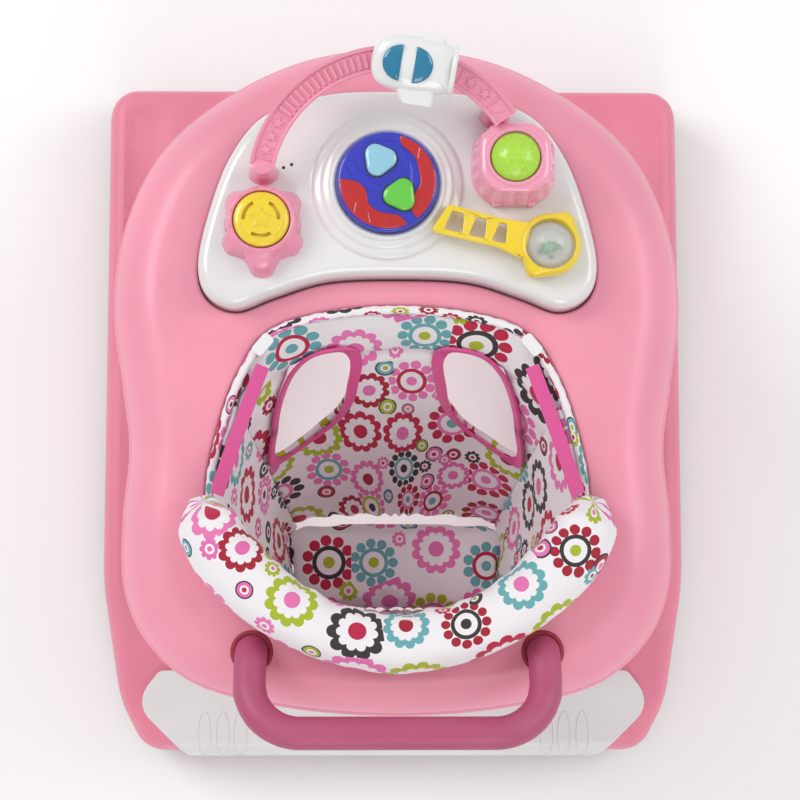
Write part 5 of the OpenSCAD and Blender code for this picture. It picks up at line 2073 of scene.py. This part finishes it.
@dataclass
class Rattle(SubAssembly):
    """Clear ball with beads, held in a yellow ladder frame."""

    ball: Point2 = (132.0, 112.0)
    radius: float = 20.0
    level: float = 474.0
    bar: Point2 = (70.0, 127.0)
    depth: float = 8.0
    bulge_turns: tuple[float, ...] = (58, 238)
    slots: tuple[Point2, ...] = ((-29, 16.5), (-7, 14.5), (13.5, 12.5))
    ring_profile: tuple[Point2, ...] = (
        (1.5, 15.5), (1.5, 4), (6.2, 3.4), (7.2, 6), (7.2, 13), (6.2, 16.4), (4, 18.2), (2.2, 17.6), (1.5, 15.5),
    )

    @property
    def turn(self) -> float:
        """Direction from the ladder's middle to the ball, in degrees."""
        return math.degrees(math.atan2(self.ball[1] - self.bar[1], self.ball[0] - self.bar[0]))

    def frame(self) -> None:
        """Ladder with three tapered slots, joined to the ring round the ball."""
        shape = Shape()
        low = Z.toy + 9
        outer = rounded([(-40, -14, 4), (20, -13.5, 30), (44, -19, 4), (44, 14, 4), (16, 11.5, 30), (-30, 13, 5)], 8)
        slots = [rounded([(x, -9.5, 2.2), (x + w, -9.2, 2.2), (x + w - 2.4, 8.0, 2.2), (x + 3.4, 8.4, 2.2)], 5)
                 for x, w in self.slots]
        loops = [
            [shape.ring(turned(o, self.turn, self.bar), z) for z in (low, low + self.depth)]
            for o in [outer, *slots]
        ]
        for a, b in loops:
            shape.bridge(a, b)
        for k in (0, 1):
            shape.plate(loops[0][k], [p[k] for p in loops[1:]], 5)
        ladder = soften(shape.build("ladder"), 1.5, 50)
        ring = Shape()
        r, steps = self.radius, np.linspace(0, 2 * math.pi, 120, endpoint=False)
        bulge = sum(5.5 * np.exp(-(apart(np.degrees(steps), a) / 17) ** 2) for a in self.bulge_turns)
        rings = []
        for out, z in self.ring_profile:
            far = r + out + bulge * max(0.0, (out - 1.5) / 5.7)
            rings.append((np.stack([far * np.cos(steps), far * np.sin(steps)], 1) + self.ball, Z.toy + z))
        ring.loft(rings, start=False, end=False)
        for x in (-9.7, 32):
            spot = turned(np.array([[x, 0.0]]), self.turn, self.bar)[0]
            ring.lathe([(4.4, 0), (4, 3), (4, 10)], (*spot, Z.toy), 24)
        obj = merged("rattle_ladder", [ladder, ring.build("ring")])
        self.fit_piece(obj, "toy_tray", "toy_yellow", Finishes.yellow, ["rattle_frame"])

    def shell(self) -> None:
        """Clear ball with a seam band."""
        shape, r = Shape(), self.radius
        for radius, flip in ((r, 1), (r - 1.5, -1)):
            t = np.linspace(0.001, math.pi - 0.001, 40)
            bulge = [0.35 * math.exp(-(((a - math.pi / 2) / 0.03) ** 2)) if flip > 0 else 0 for a in t]
            profile = [((radius + b) * math.sin(a), (radius + b) * math.cos(a)) for a, b in zip(t, bulge)]
            shape.lathe(profile, (0, 0, 0), 72)
        turn = Matrix.Rotation(math.radians(self.turn), 4, "Z") @ Matrix.Rotation(math.pi / 2, 4, "Y")
        ball = shape.build("rattle_shell", Matrix.Translation((*self.ball, self.level)) @ turn)
        self.fit_piece(ball, "rattle", "clear_plastic", Finishes.clear, ["rattle_ball"])

    def beads(self) -> None:
        """Green star and loose beads that lie in the ball."""
        shape = Shape()
        x, y = self.ball
        rounded_prism(shape, star(6.5, 3.2, 5, 80) + (x - 1, y - 1), self.level - 6, self.level - 2, 0.8)
        for i in range(7):
            a, d = math.radians(38 * i + 170), 8.5 if i % 2 else 5.0
            cap = [(2.6 * math.sin(t), 2.6 * math.cos(t)) for t in np.linspace(0.001, math.pi - 0.001, 12)]
            shape.lathe(cap, (x + d * math.cos(a), y + d * math.sin(a), self.level - 12 + (i % 3)), 16)
        self.fit_piece(shape.build("rattle_beads_green"), "rattle", "bead_green", Finishes.bead, ["rattle_beads"])

    def make(self) -> None:
        """Builds frame, ball and beads."""
        self.frame()
        self.shell()
        self.beads()


# ---- seat ----
@dataclass
class Seat(SubAssembly):
    """Padded bucket seat: front panel with leg holes, sides, pan, back and the roll on its rim."""

    pad: float = 5.0
    top: float = 440.0
    foot: float = Z.pan
    length: float = 270.0
    front: float = 22.0
    rear: float = 216.0
    hole_half: Point2 = (35.0, 54.0)
    hole_at: Point2 = (80.0, 368.0)
    hole_lean: float = 17.0
    hole_slope: float = math.radians(52)
    crease: float = 48.0
    keep: float = 0.2
    pan_points: tuple[Point2, ...] = (
        (-96, -211), (0, -219), (96, -211), (108, -166), (99, -125), (0, -117), (-99, -125), (-108, -166),
    )
    roll_outer: tuple[Point2, ...] = (
        (0, -266), (51, -258), (93, -243), (133, -219), (170, -184), (189, -146), (190, -118),
    )
    roll_inner: tuple[Point2, ...] = ((0, -208), (40, -201), (78, -183), (114, -150), (146, -108))
    roll_foot: float = 440.6
    roll_high: float = 58.0
    mid: np.ndarray = field(default_factory=lambda: np.array([0.0, -84.0]))
    pan_mid: np.ndarray = field(default_factory=lambda: np.array([0.0, -162.0]))

    def __post_init__(self) -> None:
        """Works out the bucket's rim and pan as distances round their middles."""
        self.rim = self.polar(inset(smooth(SEAT_HOLE, 10), 3), self.mid)
        self.pan = self.polar(smooth(self.pan_points, 10) + (0, Z.tray_dy), self.pan_mid)

    @staticmethod
    def polar(outline: np.ndarray, middle: np.ndarray) -> tuple[np.ndarray, np.ndarray]:
        """Sorted angles and distances of an outline round a middle.

        Args:
            outline: Closed outline as (x, y) points.
            middle: Middle that angles are taken round.

        Returns:
            Angles and distances, sorted by angle.
        """
        d = outline - middle
        a = np.arctan2(d[:, 1], d[:, 0])
        order = np.argsort(a)
        return a[order], np.linalg.norm(d, axis=1)[order]

    def ray(self, ring: tuple[np.ndarray, np.ndarray], middle: np.ndarray, angle: float) -> np.ndarray:
        """Point of a ring at an angle round its middle."""
        r = np.interp(angle, ring[0], ring[1], period=2 * math.pi)
        return middle + r * np.array([math.cos(angle), math.sin(angle)])

    def surface(self, angle: float, drop: float, inwards: float = 0.0) -> Vector:
        """Point of the bucket's wall.

        Args:
            angle: Direction round the seat, in radians; 0 is to the right.
            drop: Share of the way down from the rim to the pan.
            inwards: Distance in from the outer skin.

        Returns:
            The point, in millimetres.
        """
        top, low = self.ray(self.rim, self.mid, angle), self.ray(self.pan, self.pan_mid, angle)
        p = top * (1 - drop) + low * drop
        middle = self.mid * (1 - drop) + self.pan_mid * drop
        way = middle - p
        p = p + way / np.linalg.norm(way) * inwards
        return Vector((p[0], p[1], self.top + (self.foot - self.top) * drop))

    def puff(self, p: Vector, size: float, seed: float) -> float:
        """Slow uneven swelling and small puckers, in millimetres.

        Args:
            p: Point on the cloth.
            size: Largest swelling in millimetres.
            seed: Number that shifts the pattern.

        Returns:
            The swelling in millimetres.
        """
        slow = noise.noise(Vector((p.x / 55 + seed, p.y / 55, p.z / 48)))
        fine = noise.noise(Vector((p.x / 19, p.y / 19 + seed, p.z / 26)))
        return size * (2.6 * slow + 1.0 * fine)

    def wall_panel(
        self, name: str, start: float, end: float, low: float, high: float, holes: bool = False,
    ) -> bpy.types.Object:
        """Padded panel of the bucket's wall.

        Args:
            name: Name of the piece.
            start: First angle, in degrees.
            end: Last angle, in degrees.
            low: Drop of its upper edge.
            high: Drop of its lower edge.
            holes: Whether it has the two leg holes.

        Returns:
            The panel, with its flat coordinates.
        """
        length = self.length
        across = [self.surface(math.radians(a), 0.35) for a in np.linspace(start, end, 40)]
        width = sum((q - p).length for p, q in zip(across, across[1:]))
        shape, flat = Shape(), Shape()
        top, foot = low * length, high * length
        edge = even(np.array([(0, top), (width, top), (width, foot), (0, foot)]), 360)
        outer = flat.ring(edge, 0)
        cuts = []
        if holes:
            for side in (-1, 1):
                cut = [self.to_flat(x, z, start, end, width, length) for x, z in self.leg_hole(side, 0)]
                cuts.append(flat.ring(cut, 0))
        flat.plate(outer, cuts, 5.5)
        seed = start * 0.01
        for x, y, _ in flat.verts:
            angle, drop = math.radians(start + (end - start) * x / width), y / length
            p = self.surface(angle, drop, 3.0)
            inner = self.surface(angle, drop, 30.0)
            way = (inner - p).normalized()
            border = min(x, width - x, y - low * length, high * length - y)
            swell = self.puff(p, soft_step(border, 0, 16), seed)
            gather = 1.6 * math.sin(x / 5.2 + 2.2 * math.sin(x / 23)) * math.exp(-((high * length - y) / 16))
            gather += 1.1 * math.sin(x / 6.5) * math.exp(-((y - low * length) / 9))
            if holes:
                gather += 2.4 * math.sin(math.pi * min(1.0, y / self.crease))
                gather -= 3.0 * math.exp(-(((y - self.crease) / 3.2) ** 2))
            p = p + way * (swell + gather)
            shape.verts.append((p.x, p.y, p.z))
        shape.faces = list(flat.faces)
        obj = shape.build(name)
        self.flat_map(obj, np.array(flat.verts)[:, :2] + (start * 7.3, 37.0))
        thicken(obj, self.pad)
        return obj

    def leg_hole(self, side: int, grow: float, count: int = 84) -> list[Point2]:
        """Places along a leg hole's edge as x and height; the hole leans in towards its top.

        Args:
            side: -1 for left, 1 for right.
            grow: Growth on all sides in millimetres.
            count: Number of places.

        Returns:
            The places as (x, height).
        """
        out = []
        for a in np.linspace(0, 2 * math.pi, count, endpoint=False):
            c, s = math.cos(a), math.sin(a)
            across = math.copysign(abs(c) ** 0.72, c) * (self.hole_half[0] + grow)
            along = math.copysign(abs(s) ** 0.72, s) * (self.hole_half[1] + grow)
            out.append((side * (self.hole_at[0] - self.hole_lean * s + across),
                        self.hole_at[1] + along * math.sin(self.hole_slope)))
        return out

    def to_flat(self, x: float, z: float, start: float, end: float, width: float, length: float) -> Point2:
        """Flat coordinates of the front wall's point at that x and height.

        Args:
            x: Place across the walker.
            z: Height of the place.
            start: First angle in degrees.
            end: Last angle in degrees.
            width: Width in millimetres.
            length: Length in millimetres.

        Returns:
            The place on the flat panel.
        """
        drop = (self.top - z) / (self.top - self.foot)
        angle = math.degrees(self.angle_at(x, drop))
        return (width * (angle - start) / (end - start), drop * length)

    def flat_map(self, obj: bpy.types.Object, coords: np.ndarray) -> None:
        """Stores the cloth's flat coordinates, given in millimetres for each vertex.

        Args:
            obj: Object to change.
            coords: Flat coordinates in millimetres.
        """
        layer = obj.data.uv_layers.new(name=CLOTH_MAP)
        index = np.zeros(len(obj.data.loops), np.int32)
        obj.data.loops.foreach_get("vertex_index", index)
        layer.data.foreach_set("uv", (coords[index] * MM).astype(np.float32).ravel())

    def front_panel(self) -> None:
        """Front panel with its leg holes."""
        span = (self.front, 180 - self.front)
        panel = self.wall_panel("seat_front_panel", *span, 0.0, 0.985, True)
        self.finish_cloth(panel, "seat_front")

    def side_panels(self) -> None:
        """Panels at both sides, in one piece with the same node."""
        right = self.wall_panel("right", self.rear - 180 - 90 + 6, self.front, 0.0, 0.985)
        left = self.wall_panel("left", 180 - self.front, self.rear - 6, 0.0, 0.985)
        self.finish_cloth(merged("seat_side_panels", [right, left]), "seat_sides")

    def back_panel(self) -> None:
        """Panel below the roll."""
        span = (self.rear - 8, 540 - self.rear + 8)
        panel = self.wall_panel("seat_back_panel", *span, 0.0, 0.985)
        self.finish_cloth(panel, "seat_back")

    def cushion(self) -> None:
        """Padded pan with a crowned top."""
        shape = Shape()
        turns = np.linspace(-math.pi, math.pi, 160, endpoint=False)
        edge = np.array([self.ray(self.pan, self.pan_mid, a) for a in turns])
        sides = ((9, 0.5), (3, 3), (3, 6), (8, 10))
        loops = shape.loft([(inset(edge, d), self.foot + up) for d, up in sides], end=False)
        limit = np.array([shape.verts[i][:2] for i in loops[-1]])

        def crown(x: float, y: float) -> float:
            """Height of the cushion's top."""
            d = float(edge_distance(np.array([[x, y]]), limit)[0])
            return self.foot + 10 + 9 * (1 - math.exp(-d / 16)) + self.puff(Vector((x, y, 0)), 0.7, 3.0)

        shape.plate(loops[-1], [], 7, crown)
        obj = self.inflate(shape.build("seat_cushion"), 6)
        co = np.array([v.co for v in obj.data.vertices]) / MM
        away = co[:, :2] - self.pan_mid
        out = away / np.maximum(np.linalg.norm(away, axis=1, keepdims=True), 1.0)
        drop = np.maximum(self.foot + 12 - co[:, 2:], 0)
        self.flat_map(obj, co[:, :2] + out * drop + (310, 220))
        self.finish_cloth(obj, "seat_base", 0.7)

    def roll_edges(self, count: int) -> tuple[np.ndarray, np.ndarray]:
        """Matching points along the roll's outer and inner plan edges.

        Args:
            count: Number of points.

        Returns:
            The points of the outer and of the inner edge.
        """
        both = []
        for half in (self.roll_outer, self.roll_inner):
            line = open_curve([(-x, y) for x, y in half[:0:-1]] + list(half), 10)
            along = np.concatenate([[0], np.cumsum(np.linalg.norm(np.diff(line, axis=0), axis=1))])
            at = np.linspace(0, along[-1], count)
            x, y = (np.interp(at, along, line[:, i]) for i in (0, 1))
            both.append(np.stack([x, y + Z.tray_dy], 1))
        return both[0], both[1]

    def roll(self) -> None:
        """Padded roll that lies on the rear deck and leans in over the opening."""
        shape, count, sides = Shape(), 90, 30
        outer, inner = self.roll_edges(count)
        loops = []
        for i, (o, n) in enumerate(zip(outer, inner)):
            share = i / (count - 1)
            end = soft_step(min(share, 1 - share), -0.004, 0.06)
            middle, half = (o + n) / 2, np.linalg.norm(o - n) / 2 - 4
            way = (n - o) / np.linalg.norm(n - o)
            ring = []
            for t in np.linspace(0, 2 * math.pi, sides, endpoint=False):
                c, s = math.cos(t), math.sin(t)
                across = math.copysign(abs(c) ** 0.75, c) * half * (0.55 + 0.45 * end)
                lift = math.copysign(abs(s) ** 0.85, s) * (self.roll_high / 2 - 4) * (0.35 + 0.65 * end)
                pucker = 2.6 * math.sin(i * 1.15 + 1.7 * math.sin(i * 0.31))
                pucker *= math.exp(-((t - 0.3) ** 2) / 0.5)
                xy = middle + way * (across + pucker)
                z = self.roll_foot + (self.roll_high / 2) * (0.4 + 0.6 * end) + lift + 0.10 * across
                ring.append((xy[0], xy[1], max(z, self.roll_foot + 0.4)))
            loops.append(shape.ring(ring))
        for a, b in zip(loops, loops[1:]):
            shape.bridge(a, b)
        shape.cap(loops[0][::-1])
        shape.cap(loops[-1])
        obj = self.inflate(shape.build("seat_roll"), 7)
        self.flat_map(obj, self.wrapped(np.array([v.co for v in obj.data.vertices]) / MM, outer, inner))
        self.finish_cloth(obj, "seat_rim", 0.6)

    def wrapped(self, points: np.ndarray, outer: np.ndarray, inner: np.ndarray) -> np.ndarray:
        """Flat coordinates of points on the roll: the way along it, and the way round it from its top.

        Args:
            points: Points on the roll.
            outer: Outer edge.
            inner: Inner edge.

        Returns:
            The flat coordinates.
        """
        line = (outer + inner) / 2
        along = np.concatenate([[0], np.cumsum(np.linalg.norm(np.diff(line, axis=0), axis=1))])
        way = (inner - outer) / np.linalg.norm(inner - outer, axis=1, keepdims=True)
        gap = np.linalg.norm(points[:, None, :2] - line[None], axis=2)
        near = np.argsort(gap, axis=1)[:, :2]
        first, second = near[:, 0], near[:, 1]
        d = line[second] - line[first]
        t = np.clip(((points[:, :2] - line[first]) * d).sum(1) / np.maximum((d * d).sum(1), 1e-9), 0, 1)
        here = line[first] + d * t[:, None]
        side = ((points[:, :2] - here) * way[first]).sum(1)
        rise = points[:, 2] - (self.roll_foot + self.roll_high / 2)
        way_along = along[first] + (along[second] - along[first]) * t
        return np.stack([way_along, np.arctan2(side, rise) * 27.0 + 400], 1)

    def inflate(self, obj: bpy.types.Object, cap: float) -> bpy.types.Object:
        """Swells a closed pad with a cloth simulation.

        Args:
            obj: Closed pad, a little smaller than it should become.
            cap: Farthest that a point may move, in millimetres.

        Returns:
            The swollen pad, with one subdivision.
        """
        remesh = obj.modifiers.new("Even", "REMESH")
        remesh.mode, remesh.voxel_size = "VOXEL", 0.005
        settle(obj)
        before = np.array([v.co for v in obj.data.vertices])
        cloth = obj.modifiers.new("Cloth", "CLOTH")
        cloth.settings.quality = 5
        cloth.settings.mass = 0.25
        cloth.settings.use_pressure = True
        cloth.settings.uniform_pressure_force = 4.0
        cloth.settings.effector_weights.gravity = 0
        cloth.settings.shrink_min = -0.02
        scene = bpy.context.scene
        for frame in range(1, 21):
            scene.frame_set(frame)
        settle(obj)
        scene.frame_set(1)
        after = np.array([v.co for v in obj.data.vertices])
        move = after - before
        size = np.linalg.norm(move, axis=1, keepdims=True)
        after = before + move * np.minimum(1, cap * MM / np.maximum(size, 1e-9))
        floor = (self.roll_foot if obj.name == "seat_roll" else self.foot + 0.3) * MM
        after[:, 2] = np.maximum(after[:, 2], floor)
        obj.data.vertices.foreach_set("co", after.astype(np.float32).ravel())
        fine = obj.modifiers.new("Fine", "SUBSURF")
        fine.levels = fine.render_levels = 1
        return settle(obj)

    def finish_cloth(self, obj: bpy.types.Object, node: str, fill: float = 0.4) -> None:
        """Dresses a padded piece and, unless it is the roll, gives it a mesh of its own.

        Args:
            obj: Object to change.
            node: Node that it stands for.
            fill: Not used.
        """
        self.fit_piece(obj, "tray", "print_fabric", Finishes.cloth, [node], 180)
        if obj.name != "seat_roll":
            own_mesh(obj)

    def strip(
        self, name: str, path: list[Vector], up: list[Vector], width: float, thick: float, closed: bool,
        finish: Finish,
    ) -> bpy.types.Object:
        """Flat tape along a path.

        Args:
            name: Name of the piece.
            path: Points of its middle line.
            up: Direction across the tape's face at each point.
            width: Width of the tape.
            thick: Thickness of the tape.
            closed: Whether the tape runs back into its start.
            finish: Its finish.

        Returns:
            The tape, with flat coordinates along it.
        """
        shape, coords, gone = Shape(), [], 0.0
        profile = [(-0.5, -0.5), (0.5, -0.5), (0.5, 0.5), (0.17, 0.62), (-0.17, 0.62), (-0.5, 0.5)]
        loops = []
        for i, (p, face) in enumerate(zip(path, up)):
            after = path[(i + 1) % len(path)] if closed or i < len(path) - 1 else p + (p - path[i - 1])
            along = (after - p).normalized()
            side = along.cross(face).normalized()
            loops.append(shape.ring([p + side * (a * width) + face * (b * thick) for a, b in profile]))
            coords += [(gone, a * width + b) for a, b in profile]
            gone += (after - p).length
        for a, b in zip(loops, loops[1:]):
            shape.bridge(a, b)
        if closed:
            shape.bridge(loops[-1], loops[0])
        else:
            shape.cap(loops[0][::-1])
            shape.cap(loops[-1])
        obj = shape.build(name)
        self.flat_map(obj, np.array(coords))
        self.fit_piece(obj, "tray", "print_fabric", finish, (), 60)
        return obj

    def bindings(self) -> None:
        """Pink tape round each leg hole."""
        for side, name in ((-1, "leg_binding_left"), (1, "leg_binding_right")):
            path, up = [], []
            for x, z in self.leg_hole(side, 1.5):
                drop = (self.top - z) / (self.top - self.foot)
                angle = self.angle_at(x, drop)
                p, q = self.surface(angle, drop, 6.6), self.surface(angle, drop, 26)
                path.append(p)
                up.append((q - p).normalized())
            made = self.strip(name, path, up, 11.0, 2.6, True, Finishes.binding)
            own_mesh(made)

    def hem(self) -> None:
        """Rolled edge of the cloth on the tray, round the front and sides."""
        shape, coords, gone, last = Shape(), [], 0.0, None
        path = []
        for a in np.linspace(self.front - 40, 180 - self.front + 40, 150):
            p = self.surface(math.radians(a), 0.0, 0.5)
            p.z = 441.0 + 0.6 * noise.noise(Vector((a / 4, 0, 0)))
            path.append(p)
        shape.tube(np.array(path), lambda s, i: ellipse(7.5 + 0.8 * math.sin(i * 1.9), 5.2, 14))
        for p in path:
            gone += (p - last).length if last else 0.0
            last = p
            coords += [(gone + 60, 3.4 * k + 700) for k in range(14)]
        obj = shape.build("seat_hem")
        self.flat_map(obj, np.array(coords))
        self.fit_piece(obj, "tray", "print_fabric", Finishes.cloth, (), 180)

    def angle_at(self, x: float, drop: float) -> float:
        """Direction in which the front wall has that x at that drop.

        Args:
            x: Place across the walker.
            drop: Share of the way down the wall.

        Returns:
            The direction as an angle.
        """
        low, high = 0.0, math.pi
        for _ in range(40):
            angle = (low + high) / 2
            if self.surface(angle, drop).x > x:
                low = angle
            else:
                high = angle
        return angle

    def straps(self) -> None:
        """Webbing from the clips back to the roll."""
        for side, name in ((-1, "strap_left"), (1, "strap_right")):
            a, b = Vector((side * 118, 9, 446)), Vector((side * 156, -104, 458))
            path = []
            for t in np.linspace(0, 1, 24):
                p = a.lerp(b, t)
                p.z -= 5 * math.sin(math.pi * t)
                p.x += side * 1.5 * math.sin(math.pi * t)
                path.append(p)
            up = [Vector((-side * 0.35, 0, 0.94)).normalized()] * len(path)
            self.strip(name, path, up, 12.5, 1.6, False, Finishes.webbing)

    def make(self) -> None:
        """Builds the seat."""
        self.front_panel()
        self.side_panels()
        self.back_panel()
        self.cushion()
        self.roll()
        self.hem()
        self.bindings()
        self.straps()
        self.dress_node("seat_clips", Finishes.clip)


# ---- studio ----
@dataclass
class Studio:
    """Pale floor, soft lights and the camera above the walker."""

    focal_px: float = 1869.0
    image_px: float = 800.0
    sensor: float = 36.0
    place: tuple[float, float, float] = (-19.2, -191.5, 2070.0)
    right: tuple[float, float, float] = (0.99991, 0.0, 0.01316)
    up: tuple[float, float, float] = (-0.00138, 0.99452, 0.10453)
    back: tuple[float, float, float] = (-0.01309, -0.10454, 0.99443)
    floor_size: float = 16000.0
    world_light: float = 0.62

    def camera(self) -> None:
        """Camera that looks down almost from above."""
        data = bpy.data.cameras.new("camera")
        data.sensor_width = self.sensor
        data.lens = self.focal_px / self.image_px * self.sensor
        data.clip_start, data.clip_end = 0.05, 60
        obj = bpy.data.objects.new("camera", data)
        axes = Matrix((self.right, self.up, self.back)).transposed().to_4x4()
        obj.matrix_world = Matrix.Translation(Vector(self.place) * MM) @ axes
        bpy.context.scene.collection.objects.link(obj)
        bpy.context.scene.camera = obj

    def floor(self) -> None:
        """Large pale floor."""
        shape = Shape()
        loop = shape.ring(even(rectangle(self.floor_size, self.floor_size, 900), 80), 0)
        shape.cap(loop)
        obj = shape.build("studio_floor")
        made = bpy.data.materials.new("Studio floor")
        made.use_nodes = True
        net, shader = Net(made.node_tree), made.node_tree.nodes["Principled BSDF"]
        at = net.node("ShaderNodeTexCoord").outputs["Object"]
        tone = net.mix(net.noise(at, 3.0), (0.955, 0.955, 0.955, 1), (0.975, 0.975, 0.975, 1))
        net.put(shader.inputs["Base Color"], tone)
        shader.inputs["Roughness"].default_value = 0.9
        obj.data.materials.append(made)

    def lamp(self, name: str, at: Sequence[float], aim: Sequence[float], size: float, power: float) -> None:
        """Square soft light, in metres and watts, turned towards a point.

        Args:
            name: Name of the light.
            at: Place of the light.
            aim: Point that it looks at.
            size: Length of its side.
            power: Power in watts.
        """
        data = bpy.data.lights.new(name, "AREA")
        data.shape, data.size, data.energy = "SQUARE", size, power
        obj = bpy.data.objects.new(name, data)
        obj.location = at
        obj.rotation_euler = (Vector(aim) - Vector(at)).to_track_quat("-Z", "Y").to_euler()
        bpy.context.scene.collection.objects.link(obj)

    def lights(self) -> None:
        """Soft light from all around, brighter from the front left."""
        world = bpy.data.worlds.new("Studio")
        world.use_nodes = True
        world.node_tree.nodes["Background"].inputs[0].default_value = (1.0, 1.0, 1.0, 1)
        world.node_tree.nodes["Background"].inputs[1].default_value = self.world_light
        bpy.context.scene.world = world
        self.lamp("soft_left", (-2.2, 1.2, 2.6), (0, 0, 0.3), 1.6, 42)
        self.lamp("soft_right", (2.4, 0.6, 2.4), (0, 0, 0.3), 1.6, 24)
        self.lamp("soft_rear", (0.2, -2.6, 2.2), (0, 0, 0.4), 1.4, 18)
        bpy.context.scene.view_settings.view_transform = "Standard"

    def make(self) -> None:
        """Builds the studio."""
        self.camera()
        self.floor()
        self.lights()


def main() -> None:
    """Builds the walker's looks in order."""
    logging.basicConfig(level=logging.INFO, format="%(name)s: %(message)s")
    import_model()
    Studio().make()
    parts = (
        Base(), Casters(), FoldingFrame(), Tray(), PushHandle(), ToyTray(), SteeringDisc(), SlideArch(),
        Spinner(), LightBox(), Rattle(), Seat(),
    )
    for part in parts:
        LOG.info("building %s", type(part).__name__)
        part.make()


if __name__ == "__main__":
    main()
